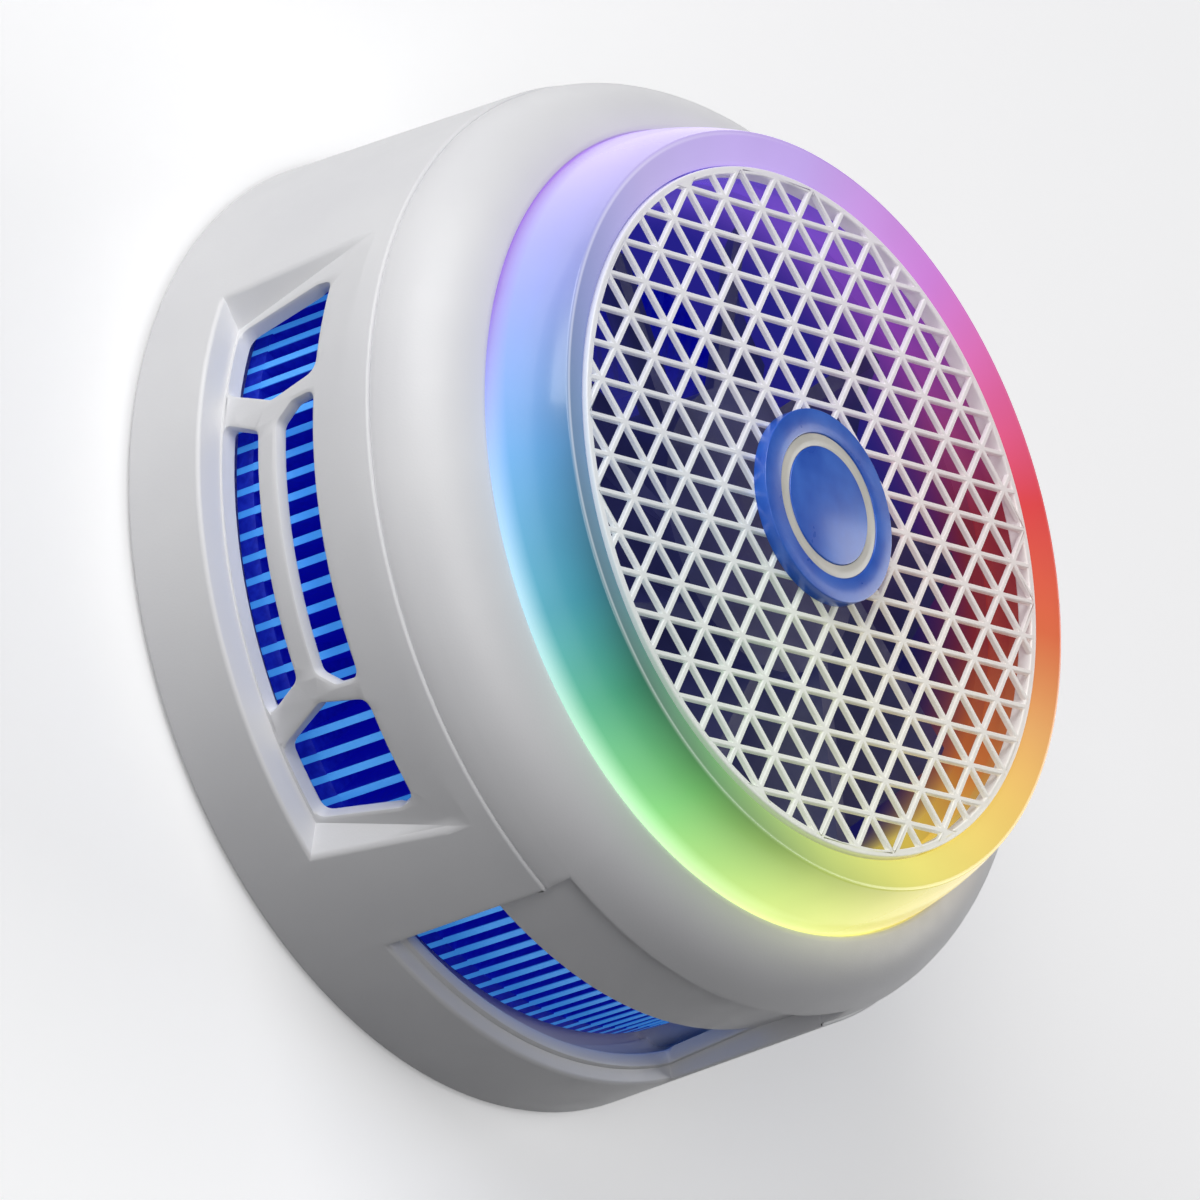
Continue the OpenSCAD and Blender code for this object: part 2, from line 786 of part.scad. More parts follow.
// Cambered blade along +x, held between the hub and the tip
module blade() {
    z_mid = (rotor_z0 + rotor_z1) / 2;
    half_h = impeller_h / 2 - 0.3;
    half_w = 5.4;
    chord = [2 * half_w, 2 * half_h];
    centre = arc_centre([-half_w, z_mid - half_h], [half_w, z_mid + half_h], camber_r);
    root_r = hub_r - hub_wall / 2;
    intersection() {
        translate([0, centre[0], centre[1]])
            rotate([0, 90, 0])
                difference() {
                    cylinder(r = camber_r + blade_t / 2, h = tip_r + over);
                    translate([0, 0, -over])
                        cylinder(r = camber_r - blade_t / 2, h = tip_r + 3 * over);
                }
        ring(root_r, tip_r, z_mid - half_h, z_mid + half_h);
        translate([0, -chord[0], z_mid - half_h])
            cube([tip_r + over, 2 * chord[0], chord[1]]);
    }
}

module impeller() {
    color("#17192a")
        union() {
            difference() {
                disc(hub_r, rotor_z0, rotor_z1);
                disc(hub_r - hub_wall, rotor_z0 - over, yoke_z1);
                disc(shaft_r + thread_clear, yoke_z1 - over, rotor_z1 - 0.5 + thread_clear);
            }
            for (i = [0:blade_n - 1])
                rotate([0, 0, i * 360 / blade_n])
                    blade();
        }
}

module control_board() {
    color("#14573a")
        difference() {
            ring(duct_r1 + 0.5, tongue_r0 - 2 * slip, board_z0, board_z1);
            around(case_screw_angles, case_screw_r) {
                disc(screw_d / 2 + hole_clear, board_z0 - over, board_z1 + over);
                translate([0, -screw_d / 2, board_z0 - over])
                    cube([boss_r, screw_d, board_t + 2 * over]);
            }
            around(fan_screw_angles, fan_screw_r)
                disc(fan_post_r + 2 * slip, board_z0 - over, board_z1 + over);
        }
}

module board_parts() {
    mid_r = (duct_r1 + tongue_r0) / 2;
    color("#2a2b2e") {
        around([0, 195], mid_r)
            plate(choke_w, board_z1, board_z1 + choke_h);
        around([175, 340], mid_r)
            plate(chip_w, board_z1, board_z1 + chip_h);
        around([8, 164, 205, 330, 349], mid_r)
            plate(cap_w, board_z1, board_z1 + cap_h);
    }
}

// Solid of the inlet's rounded outline, grown by a margin, along +y
module inlet_prism(grow, length) {
    r = inlet_h / 2 + grow;
    half = inlet_w / 2 - inlet_h / 2;
    rotate([-90, 0, 0])
        linear_extrude(length) {
            translate([-half, -r])
                square([2 * half, 2 * r]);
            for (side = [-1, 1])
                translate([side * half, 0])
                    circle(r);
        }
}

inlet_mouth_r = seam_r - 0.5;
inlet_back = 0.5;
inlet_mid_z = inlet_z0 + inlet_h / 2;

module inlet_shell() {
    color("#b7babd")
        translate([0, inlet_mouth_r - inlet_depth, inlet_mid_z])
            difference() {
                inlet_prism(0, inlet_depth);
                translate([0, inlet_back, 0])
                    inlet_prism(-inlet_sheet, inlet_depth);
            }
}

module inlet_tongue() {
    tongue_w = 6.6;
    tongue_t = 0.7;
    length = inlet_depth - inlet_back - 1.2;
    color("#1c1d20")
        translate([-tongue_w / 2, inlet_mouth_r - inlet_depth + inlet_back, inlet_mid_z - tongue_t / 2])
            cube([tongue_w, length, tongue_t]);
}

// Cross-section of the front shell's outside, set in by a margin
module shoulder_outline(inset) {
    top = ring_foot_z - inset;
    intersection() {
        translate([0, front_z0])
            square([front_r - inset, top - front_z0]);
        union() {
            translate([0, front_z0])
                square([front_r - inset, max(shoulder_z - front_z0, 0.01)]);
            square([shoulder_c, top + over]);
            translate([shoulder_c, shoulder_z])
                circle(shoulder_r - inset);
        }
    }
}

module front_shell() {
    ring_seat_r = ring_r1 + slip;
    rabbet_r = (bore_r1 + seam_r) / 2 + slip;
    color("#f1f1f2")
        difference() {
            union() {
                rotate_extrude()
                    difference() {
                        shoulder_outline(0);
                        intersection() {
                            shoulder_outline(front_wall);
                            square([base_r, flange_z0]);
                        }
                        translate([0, front_z0 - over])
                            square([front_r - front_wall, over + slip]);
                        translate([0, front_z0 - over])
                            square([rabbet_r, over + lip_h - seam_gap + slip]);
                        translate([0, flange_z1])
                            square([ring_seat_r, ring_seat + over]);
                        square([duct_r1 + 2 * slip, ring_foot_z]);
                    }
                around(case_screw_angles, case_screw_r)
                    disc(boss_r, board_z1, flange_z0 + over / 4);
                around(fan_screw_angles, fan_screw_r)
                    disc(fan_post_r, frame_z0 + head_h + ear_t, flange_z0 + over / 4);
            }
            sector(tongue_r0 - slip, base_r + over, front_z0 - over, recess_z1,
                   recess_a - recess_span / 2, recess_a + recess_span / 2);
            around(case_screw_angles, case_screw_r)
                disc(screw_d / 2 + thread_clear, board_z1 - over, flange_z0 - 0.4);
            around(fan_screw_angles, fan_screw_r)
                disc(screw_d / 2 + thread_clear, frame_z0, flange_z0 - 0.4);
        }
}

module ring_board() {
    color("#eef0ee")
        ring(ring_r0 + slip, ring_r1 - 2 * slip, flange_z1, ring_board_z1);
}

module ring_lamps() {
    color("#fff6d8")
        around([for (i = [0:lamp_n - 1]) i * 360 / lamp_n], lamp_r)
            plate(lamp_w, ring_board_z1, ring_board_z1 + lamp_h);
}

// Solid cross-section of the light ring up to its bulged face, set in by a margin
module ring_outline(inset) {
    foot = [ring_r1, ring_foot_z];
    lip = [lip_r, lip_z];
    centre = arc_centre(foot, lip, ring_bulge_r);
    ledge_z = grille_z1 - ledge_drop;
    intersection() {
        polygon([
            [ring_r0 + inset, ring_z0], [ring_r1 - inset, ring_z0], [ring_r1 - inset, ring_foot_z],
            [ring_r1 - inset, lip_z - inset], [lip_r - 0.25, lip_z - inset],
            [ring_r0 + inset, ledge_z - inset]
        ]);
        union() {
            square([ring_r1 - inset, ring_foot_z]);
            translate(centre)
                circle(ring_bulge_r - inset, $fn = 240);
        }
    }
}

module light_ring() {
    color("#f4f0fa")
        rotate_extrude()
            union() {
                difference() {
                    ring_outline(0);
                    ring_outline(ring_wall);
                    translate([ring_r0 + ring_wall, ring_z0 - over])
                        square([ring_r1 - ring_r0 - 2 * ring_wall, 2 * over]);
                }
                translate([ring_r0 - grille_seat_w, grille_z0 - grille_seat_t])
                    square([grille_seat_w + ring_wall / 2, grille_seat_t]);
            }
}

module grille() {
    rim_in = grille_r - grille_rim;
    rim_skirt = grille_rim - 0.1;
    seat_r = badge_d / 2 - 0.6;
    smallest_cell = 0.4;
    side = norm([lattice_base / 2, lattice_row]);
    inradius = lattice_base * lattice_row / (lattice_base + 2 * side);
    shrink = 1 - rib_w / 2 / inradius;
    rows = ceil(grille_r / lattice_row);
    columns = ceil(grille_r / lattice_base) + 1;
    color("#f0f0f0")
        union() {
            ring(grille_r - rim_skirt, grille_r, grille_z0, grille_z1 - lattice_t);
            translate([0, 0, grille_z1 - lattice_t])
                linear_extrude(lattice_t)
                    difference() {
                        circle(grille_r);
                        intersection() {
                            circle(rim_in);
                            rotate(lattice_turn)
                                for (j = [-rows:rows - 1], i = [-columns:columns], up = [0, 1]) {
                                    x = (i + ((j % 2 + 2) % 2) / 2 + up / 2) * lattice_base;
                                    y = (j + (up == 0 ? 0 : 1)) * lattice_row;
                                    point = up == 0 ? 1 : -1;
                                    centre = [x, y + point * inradius];
                                    corners = [
                                        [x - lattice_base / 2, y], [x + lattice_base / 2, y],
                                        [x, y + point * lattice_row]
                                    ];
                                    cell = [for (c = corners) centre + shrink * (c - centre)];
                                    if (min([for (c = cell) norm(c)]) < rim_in - smallest_cell
                                            && norm(centre) > seat_r)
                                        polygon(cell);
                                }
                        }
                    }
        }
}

module badge() {
    bevel = 0.3;
    inlay_r = badge_d * 0.34;
    inlay_w = 0.9;
    inlay_sink = 0.2;
    r = badge_d / 2;
    top = grille_z1 + badge_h;
    color("#2f63c8")
        rotate_extrude()
            polygon([
                [0, grille_z1], [r, grille_z1], [r, top - bevel], [r - bevel, top],
                [inlay_r + inlay_w / 2, top], [inlay_r + inlay_w / 2, top - inlay_sink],
                [inlay_r - inlay_w / 2, top - inlay_sink], [inlay_r - inlay_w / 2, top], [0, top]
            ]);
}

module case_screws() {
    color("#b9bcc0")
        around(case_screw_angles, case_screw_r)
            screw_up(tray_z1 + head_h, flange_z0 - 0.6 - tray_z1 - head_h);
}

contact_pad();
cold_plate();
grip_ring();
magnet_tray();
magnets();
magnet_back_plate();
body_shell();
insulation_frame();
module_cold_ceramic();
module_pellets();
module_hot_ceramic();
module_leads();
thermal_pad();
sink_gasket();
sink_plate();
sink_fins();
sink_screws();
fan_frame();
fan_screws();
motor_board();
stator_core();
stator_coils();
sleeve_bearing();
thrust_pad();
shaft();
shaft_clip();
rotor_magnet();
rotor_yoke();
impeller();
control_board();
board_parts();
inlet_shell();
inlet_tongue();
front_shell();
ring_board();
ring_lamps();
light_ring();
grille();
badge();
case_screws();
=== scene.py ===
# %% [markdown]
# # A magnetic cooler with a fan
# This lesson dresses a small round cooler that holds on by magnets. A white case stands
# on a ring of magnets, blue fins show through its windows, and a fan sits under a
# lattice grille with a ring of coloured light around it.
# The packed model comes first. It fixes every place and size, so a piece that is made
# here only has to follow it. Sizes are written in millimetres, and MM turns them into
# Blender's metres.

# %% Load the frame
import math

import bmesh
import bpy
from mathutils import Matrix, Vector


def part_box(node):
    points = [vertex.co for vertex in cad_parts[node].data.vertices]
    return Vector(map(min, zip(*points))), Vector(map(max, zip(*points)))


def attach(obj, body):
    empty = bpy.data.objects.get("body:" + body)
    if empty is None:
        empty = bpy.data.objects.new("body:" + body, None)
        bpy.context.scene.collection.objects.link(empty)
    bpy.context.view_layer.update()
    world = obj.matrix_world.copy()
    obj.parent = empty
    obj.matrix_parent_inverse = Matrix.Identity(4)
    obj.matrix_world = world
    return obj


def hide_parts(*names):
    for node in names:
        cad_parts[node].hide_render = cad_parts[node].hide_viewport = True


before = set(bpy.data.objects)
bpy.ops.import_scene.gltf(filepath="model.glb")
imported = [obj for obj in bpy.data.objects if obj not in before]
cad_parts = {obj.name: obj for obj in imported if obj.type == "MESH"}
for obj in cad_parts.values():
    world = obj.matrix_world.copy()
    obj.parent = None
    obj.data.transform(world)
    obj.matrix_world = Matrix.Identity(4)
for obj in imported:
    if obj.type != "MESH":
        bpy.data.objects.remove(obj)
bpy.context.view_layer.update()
MM = 0.001

# %% [markdown]
# ## Sizes from the frame
# A piece that takes a node's place has to end where the node ends. Its outer sizes could
# be typed in, but they would go wrong when the model changes. So they are read off the
# node's box in the frame, and only the softer form inside that box is written here.

# %% Read sizes off the frame
def reach(node):
    """How far a round node reaches from the axis, in millimetres."""
    return round(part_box(node)[1].x / MM, 3)


def heights(node):
    """A node's foot and top above the contact face, in millimetres."""
    return tuple(round(corner.z / MM, 2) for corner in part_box(node))


print("reach of the case:", reach("body_shell"), "mm, foot and top:", heights("body_shell"))

# %% [markdown]
# ## The camera
# The view is a long lens that looks across the grille from the left and a little from
# below. It leans, because the cooler is used upright while the model lies on its contact
# face. A camera could be turned by three angles, but it is placed by a matrix here, whose
# columns are its right, its up and its back, so that the lean is exact. Its place, its aim
# and its lean are in metres.

# %% Place the camera
camera_at = Vector((-0.47604, -0.29243, 0.41260))
camera_aim = Vector((0.0, -0.0011, 0.0125))
camera_lean = Vector((-0.34104, 0.89926, 0.27391))
LENS_MM, NEAREST = 316, 0.01

back = (camera_at - camera_aim).normalized()
right = camera_lean.cross(back).normalized()
up = back.cross(right)
camera = bpy.data.objects.new("camera", bpy.data.cameras.new("camera"))
camera.data.lens = LENS_MM
camera.data.clip_start = NEAREST
camera.matrix_world = Matrix((
    (right.x, up.x, back.x, camera_at.x),
    (right.y, up.y, back.y, camera_at.y),
    (right.z, up.z, back.z, camera_at.z),
    (0, 0, 0, 1),
))
bpy.context.scene.collection.objects.link(camera)
bpy.context.scene.camera = camera
bpy.context.scene.view_settings.view_transform = "Standard"
print("camera distance:", round((camera_at - camera_aim).length, 3), "m")

# %% [markdown]
# ## Shader sums
# A finish is a small network of nodes. Written link by link it is hard to read, so a
# socket is wrapped in a class that knows plus, minus, times and so on, and each sum
# adds its Math node. Every other node comes from one method, which takes the node's
# type, its settings and what goes into its sockets.

# %% Wrap the sockets
class Wire:
    """A shader socket that takes part in sums."""

    def __init__(self, finish, socket):
        self.finish, self.socket = finish, socket

    def maths(self, operation, a, b=0.0):
        return self.finish.node("ShaderNodeMath", {"operation": operation}, {0: a, 1: b})

    def __add__(self, other):
        return self.maths("ADD", self, other)

    def __radd__(self, other):
        return self.maths("ADD", other, self)

    def __sub__(self, other):
        return self.maths("SUBTRACT", self, other)

    def __rsub__(self, other):
        return self.maths("SUBTRACT", other, self)

    def __mul__(self, other):
        return self.maths("MULTIPLY", self, other)

    def __rmul__(self, other):
        return self.maths("MULTIPLY", other, self)

    def __pow__(self, other):
        return self.maths("POWER", self, other)

    def __abs__(self):
        return self.maths("ABSOLUTE", self)

    def fraction(self):
        return self.maths("FRACT", self)

    def clamped(self):
        return self.finish.node("ShaderNodeClamp", {}, {"Value": self})

    def above(self, level, slope):
        """A mask that is 0 up to a level and then climbs to 1 with a slope."""
        return ((self - level) * slope).clamped()

    def below(self, level, slope):
        """A mask that is 0 down to a level and then climbs to 1 with a slope."""
        return ((level - self) * slope).clamped()


print("a wire takes part in sums, and makes masks with", Wire.above.__name__, "and", Wire.below.__name__)

# %% [markdown]
# ## Colours and noise
# A colour is easiest to judge as a screen shows it, from 0 to 255, but shaders count in
# linear light, so each one is turned into that first. No real surface has a single
# colour, and most finishes here are two close tints with noise in between. Noise could
# be stretched over its full range, but most of its values lie near the middle, so the
# tints are set where those begin and end.

# %% Write colours as a screen shows them
def rgb(red, green, blue):
    """A colour as a screen shows it, from 0 to 255, as the shader's linear values."""
    def linear(v):
        v = v / 255
        return v / 12.92 if v <= 0.04045 else ((v + 0.055) / 1.055) ** 2.4
    return tuple(linear(v) for v in (red, green, blue))


def rgba(red, green, blue):
    return (*rgb(red, green, blue), 1.0)


BLACK, WHITE = rgba(0, 0, 0), rgba(255, 255, 255)
print("mid grey is", round(rgb(128, 128, 128)[0], 3), "in linear light")

# %% Build a finish from nodes
NOISE_LOW, NOISE_HIGH = 0.3, 0.7      # most of a noise texture's values lie between these
MIX_A, MIX_B, MIX_OUT = 6, 7, 2       # the colour sockets of a Mix node


class Finish:
    """One material: a Principled shader and the nodes that feed it."""

    def __init__(self, name, **constants):
        self.material = bpy.data.materials.new(name)
        self.material.use_nodes = True
        self.tree = self.material.node_tree
        self.shader = self.tree.nodes["Principled BSDF"]
        self.give(**constants)

    def node(self, kind, settings, sockets, output=0):
        made = self.tree.nodes.new(kind)
        for key, value in settings.items():
            if key == "stops":
                ramp = made.color_ramp
                while len(ramp.elements) < len(value):
                    ramp.elements.new(0.5)
                for element, (place, colour) in zip(ramp.elements, value):
                    element.position = place
                    element.color = (*colour, 1)
            else:
                setattr(made, key, value)
        for key, value in sockets.items():
            self.feed(made.inputs[key], value)
        return Wire(self, made.outputs[output])

    def feed(self, socket, value):
        if isinstance(value, Wire):
            self.tree.links.new(value.socket, socket)
        else:
            socket.default_value = value

    def give(self, **values):
        for socket, value in values.items():
            self.feed(self.shader.inputs[socket.replace("_", " ")], value)

    def place(self):
        return self.node("ShaderNodeTexCoord", {}, {}, "Object")

    def axes(self):
        split = self.node("ShaderNodeSeparateXYZ", {}, {0: self.place()})
        return [Wire(self, s) for s in split.socket.node.outputs]

    def noise(self, size_mm, detail=3.0, roughness=0.5):
        sockets = {"Vector": self.place(), "Scale": 1 / (size_mm * MM), "Detail": detail,
                   "Roughness": roughness}
        return self.node("ShaderNodeTexNoise", {}, sockets)

    def spread(self, noise, low, high):
        sockets = {"Value": noise, "From Min": NOISE_LOW, "From Max": NOISE_HIGH,
                   "To Min": low, "To Max": high}
        return self.node("ShaderNodeMapRange", {}, sockets)

    def ramp(self, wire, *stops):
        return self.node("ShaderNodeValToRGB", {"stops": stops}, {0: wire})

    def tint(self, noise, light, dark):
        return self.ramp(noise, (NOISE_LOW, rgb(*dark)), (NOISE_HIGH, rgb(*light)))

    def mix(self, factor, a, b, blend="MIX"):
        settings = {"data_type": "RGBA", "blend_type": blend}
        return self.node("ShaderNodeMix", settings, {0: factor, MIX_A: a, MIX_B: b}, MIX_OUT)

    def bump(self, height, depth_mm):
        sockets = {"Height": height, "Strength": 1.0, "Distance": depth_mm * MM}
        self.give(Normal=self.node("ShaderNodeBump", {}, sockets))


print("a finish is built with:", [name for name in vars(Finish) if name[0] != "_"])

# %% [markdown]
# ## Moulded white plastic
# The case is injection moulded with a fine spark texture. On the real thing that is a
# grain of a tenth of a millimetre that only softens the highlight, with hardly any
# change of tint. A picture could hold such a grain, but noise has no seams. So the colour
# drifts by a percent or two over centimetres, the roughness by a little more, and the
# grain is a bump a few microns deep.

# %% Mix the plastics
DRIFT_MM, PATCH_MM, GRAIN_MM, GRAIN_DEPTH = 14, 1.3, 0.16, 0.006


def moulded(name, light, dark, rough):
    finish = Finish(name)
    drift = finish.noise(DRIFT_MM, detail=2)
    patches = finish.noise(PATCH_MM)
    finish.give(Base_Color=finish.tint(drift, light, dark))
    finish.give(Roughness=finish.spread(patches, rough - 0.05, rough + 0.05))
    finish.bump(finish.noise(GRAIN_MM, detail=2, roughness=0.6), GRAIN_DEPTH)
    return finish.material


white_case = moulded("moulded white", (238, 238, 240), (231, 231, 234), 0.42)
black_plastic = moulded("moulded black", (44, 46, 50), (36, 37, 41), 0.45)
tray_plastic = moulded("tray plastic", (224, 226, 228), (214, 216, 219), 0.5)
natural_plastic = moulded("natural plastic", (236, 236, 232), (226, 227, 222), 0.4)
print("plastics:", white_case.name, black_plastic.name, tray_plastic.name)

# %% [markdown]
# ## Metals, boards and the rest inside
# The inner pieces hardly show, but each still gets the finish that it has on a bench:
# turned or rolled metal with fine lines, a solder mask over copper tracks, enamelled
# wire, sintered bronze, ceramic and soft pads. Lines in metal are noise that a Mapping
# node stretches along one axis, and tracks are the rims of square Voronoi cells.

# %% Write the inner finishes
TRACK_CELL_MM = 2.4
TRACK = (0.36, 0.4, 0.52, 0.56)         # where a copper track rises and falls within its cell


def metal(name, light, dark, rough, lines_mm, stretch=(1, 1, 0.08)):
    finish = Finish(name, Metallic=1.0)
    turned = finish.node("ShaderNodeMapping", {}, {"Vector": finish.place(), "Scale": stretch})
    lines = finish.node("ShaderNodeTexNoise", {},
                        {"Vector": turned, "Scale": 1 / (lines_mm * MM), "Detail": 4.0})
    finish.give(Base_Color=finish.tint(lines, light, dark))
    finish.give(Roughness=finish.spread(lines, rough - 0.07, rough + 0.07))
    finish.bump(lines, 0.004)
    return finish.material


def board(name, mask, track):
    finish = Finish(name, Roughness=0.32, Coat_Weight=0.3)
    cells = finish.node("ShaderNodeTexVoronoi", {"distance": "CHEBYCHEV", "feature": "F1"},
                        {"Vector": finish.place(), "Scale": 1 / (TRACK_CELL_MM * MM)}, "Distance")
    off, on = BLACK[:3], WHITE[:3]
    copper = finish.ramp(cells, *zip(TRACK, (off, on, on, off)))
    finish.give(Base_Color=finish.mix(copper, rgba(*mask), rgba(*track)))
    finish.bump(copper, 0.02)
    return finish.material


def soft_pad(name, light, dark, rough, cell_mm):
    finish = Finish(name)
    grain = finish.noise(cell_mm, detail=4, roughness=0.6)
    finish.give(Base_Color=finish.tint(grain, light, dark))
    finish.give(Roughness=finish.spread(finish.noise(3), rough - 0.06, rough + 0.06))
    finish.bump(grain, 0.02)
    return finish.material


print("tracks are", round((TRACK[3] - TRACK[0]) * TRACK_CELL_MM, 2), "mm wide")

# %% Mix the inner finishes
steel = metal("bright zinc steel", (196, 199, 204), (168, 171, 177), 0.3, 0.5)
nickel = metal("nickel plate", (205, 203, 196), (182, 180, 173), 0.22, 0.8)
cold_metal = metal("rolled aluminium", (214, 216, 219), (192, 195, 199), 0.34, 0.4, (1, 0.06, 1))
core_metal = metal("core laminations", (132, 135, 141), (92, 95, 101), 0.42, 0.25, (0.05, 0.05, 1))
copper_wire = metal("enamelled copper", (198, 118, 62), (150, 78, 36), 0.28, 0.2, (0.1, 0.1, 1))
bronze = metal("sintered bronze", (190, 146, 82), (156, 114, 58), 0.5, 0.15, (1, 1, 1))
ferrite = soft_pad("ferrite", (78, 80, 84), (58, 60, 64), 0.55, 0.3)
ceramic = soft_pad("alumina", (243, 243, 238), (232, 232, 226), 0.5, 0.35)
semiconductor = metal("bismuth telluride", (150, 153, 160), (108, 111, 118), 0.45, 0.3, (1, 1, 1))
lead_rubber = soft_pad("lead insulation", (186, 54, 44), (160, 40, 34), 0.48, 0.5)
thermal_silicone = soft_pad("thermal silicone", (150, 153, 157), (132, 135, 140), 0.62, 0.28)
grip_rubber = soft_pad("grip rubber", (74, 76, 80), (60, 62, 66), 0.7, 0.22)
green_board = board("green solder mask", (16, 84, 52), (30, 108, 66))
white_board = board("white solder mask", (232, 234, 232), (214, 216, 210))
print("inner finishes:", steel.name, ceramic.name, grip_rubber.name, green_board.name)

# %% [markdown]
# ## Blue fins
# The fins are anodised blue. A painted glow stands in for light inside the case, so that
# the gaps are a deep blue, and a painted highlight lies on the outer edges of the fins.
# How far a point lies from the axis tells the two apart: past the fin tips' radius it is
# an edge. Towards the axis, where one looks in through the fan, the painted glow is paler
# and dim. The plate behind the fins has one unbroken edge, so there the painted highlight
# is laid in rows at the pitch of the fins, which is finer behind the lower recess.

# %% Mix the fin finish
FINE_ROWS, COARSE_ROWS = (144, 0.2), (120, 0.167)     # fins in a turn, half a fin's share of its pitch
RECESS_TURN, RECESS_REACH = 0.75, 1 / 12              # where the fine rows are, as parts of a turn
FIN_PAINTED_DEEP_R, FIN_PAINTED_FADE = 13, 0.14


def radius_mm(finish):
    x, y, _ = finish.axes()
    return (x * x + y * y) ** 0.5 * (1 / MM)


def turn_round(finish):
    """The angle about the axis, from 0 to 1 for a full turn."""
    x, y, _ = finish.axes()
    return (y.maths("ARCTAN2", y, x) * (0.5 / math.pi)).fraction()


# Rows of painted highlight on the plate's edge, at the pitch of the fins.
def painted_fin_rows(finish):
    turn = turn_round(finish)

    def row(per_turn, half_width):
        off_middle = abs((turn * per_turn).fraction() - 0.5)
        return off_middle.below(half_width, 30)

    fine = abs(turn - RECESS_TURN).below(RECESS_REACH, 1000)
    return row(*FINE_ROWS) * fine + row(*COARSE_ROWS) * (1 - fine)


def fin_blue_painted_glow(name, painted_edge_from, with_painted_rows=False):
    finish = Finish(name, Metallic=0.35, Emission_Strength=0.4)
    radius = radius_mm(finish)
    edge = radius.above(painted_edge_from, 12)
    if with_painted_rows:
        edge = edge * painted_fin_rows(finish)
    depth = radius.above(FIN_PAINTED_DEEP_R, FIN_PAINTED_FADE)
    streak = finish.noise(0.5, detail=4)
    body = finish.tint(streak, (34, 60, 190), (18, 34, 150))
    # Painted highlight on the outer edges, in colour and glow; the rest has a painted glow that is paler
    # and dim towards the axis.
    finish.give(Base_Color=finish.mix(edge, body, rgba(70, 150, 235)))
    deep = finish.mix(depth, rgba(60, 60, 140), rgba(4, 6, 150))
    finish.give(Emission_Color=finish.mix(edge, deep, rgba(70, 160, 245)))
    finish.give(Roughness=finish.spread(streak, 0.3, 0.44))
    finish.bump(streak, 0.004)
    return finish.material


FIN_TIP = max(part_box("sink_fins")[1].x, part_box("sink_fins")[1].y) / MM
PAINTED_EDGE_FROM = FIN_TIP - 0.1
blue_fins_painted_glow = fin_blue_painted_glow("blue anodised fins with painted glow", PAINTED_EDGE_FROM)
blue_plate_painted_glow = fin_blue_painted_glow("blue anodised plate with painted glow", PAINTED_EDGE_FROM, with_painted_rows=True)
print("fin tips at", round(FIN_TIP, 2), "mm")

# %% [markdown]
# ## Coloured light
# Each lamp under the ring has its own colour, and the milky wall blends them into one
# wheel of hues. The angle about the axis, from 0 to 1 for a full turn, goes into one
# colour ramp that every lit piece shares, so they agree all the way round. A ramp isn't
# a circle, so its first and last colours are the same. Down in the fan's duct the same
# light is deeper, so a second ramp holds its colours there.

# %% Set the wheel of hues
HUES = (
    (0.00, rgb(224, 104, 58)), (0.06, rgb(230, 60, 65)), (0.11, rgb(230, 95, 160)),
    (0.17, rgb(215, 130, 225)), (0.26, rgb(195, 165, 240)), (0.38, rgb(195, 180, 245)),
    (0.46, rgb(150, 165, 240)), (0.53, rgb(100, 170, 230)), (0.59, rgb(70, 165, 185)),
    (0.63, rgb(80, 180, 140)), (0.68, rgb(135, 220, 125)), (0.75, rgb(215, 240, 125)),
    (0.82, rgb(245, 235, 120)), (0.90, rgb(246, 206, 105)), (0.95, rgb(236, 172, 98)),
    (1.00, rgb(224, 104, 58)),
)
DUCT_HUES = (
    (0.00, rgb(118, 30, 32)), (0.06, rgb(108, 28, 44)), (0.10, rgb(124, 46, 100)),
    (0.15, rgb(118, 52, 150)), (0.22, rgb(108, 68, 182)), (0.31, rgb(80, 60, 175)),
    (0.40, rgb(40, 38, 140)), (0.60, rgb(20, 20, 90)), (0.78, rgb(110, 115, 50)),
    (0.86, rgb(205, 180, 75)), (0.93, rgb(170, 90, 38)), (1.00, rgb(118, 30, 32)),
)


def hue_wheel(finish, hues=HUES):
    return finish.ramp(turn_round(finish), *hues)


print("hues in the wheel:", len(HUES) - 1, "and in the duct:", len(DUCT_HUES) - 1)

# %% [markdown]
# ## The milky ring
# The ring is brightest at its foot, over the lamps, and dimmer towards its lip. On the
# side that is turned to the recess, painted shade dims it more towards the lip, and a
# painted highlight makes the foot almost white. A violet painted shade lies on the foot
# at the upper left, and a pale painted highlight runs along the lip on the left. The flat
# ledge inside the lip is matt, and painted shade makes it darker on the left. Below it, in
# the throat, the duct's colours take over. Masks for these places are made from height,
# radius and direction, and each one mixes its own colour in.

# %% Light the milky ring
RING_LOW, RING_TOP = heights("light_ring")
RING_FOOT_Z, RING_R = 25.75, 26.0
LEDGE_Z, LIP_LINE_Z, LIP_R, THROAT_R = 30.2, 30.8, 25.2, 23.6


def height_mm(finish):
    _, _, z = finish.axes()
    return z * (1 / MM)


def painted_side_mask(finish, degrees):
    """How far a point of the ring lies towards an angle, from 0 at its side to 1. It places the painted
    light and shade.
    """
    x, y, _ = finish.axes()
    turn = math.radians(degrees)
    return ((x * math.cos(turn) + y * math.sin(turn)) * (1 / RING_R / MM)).clamped()


def dimmed(finish, colour, level):
    grey = finish.node("ShaderNodeCombineXYZ", {}, {0: level, 1: level, 2: level})
    return finish.mix(1.0, colour, grey, "MULTIPLY")


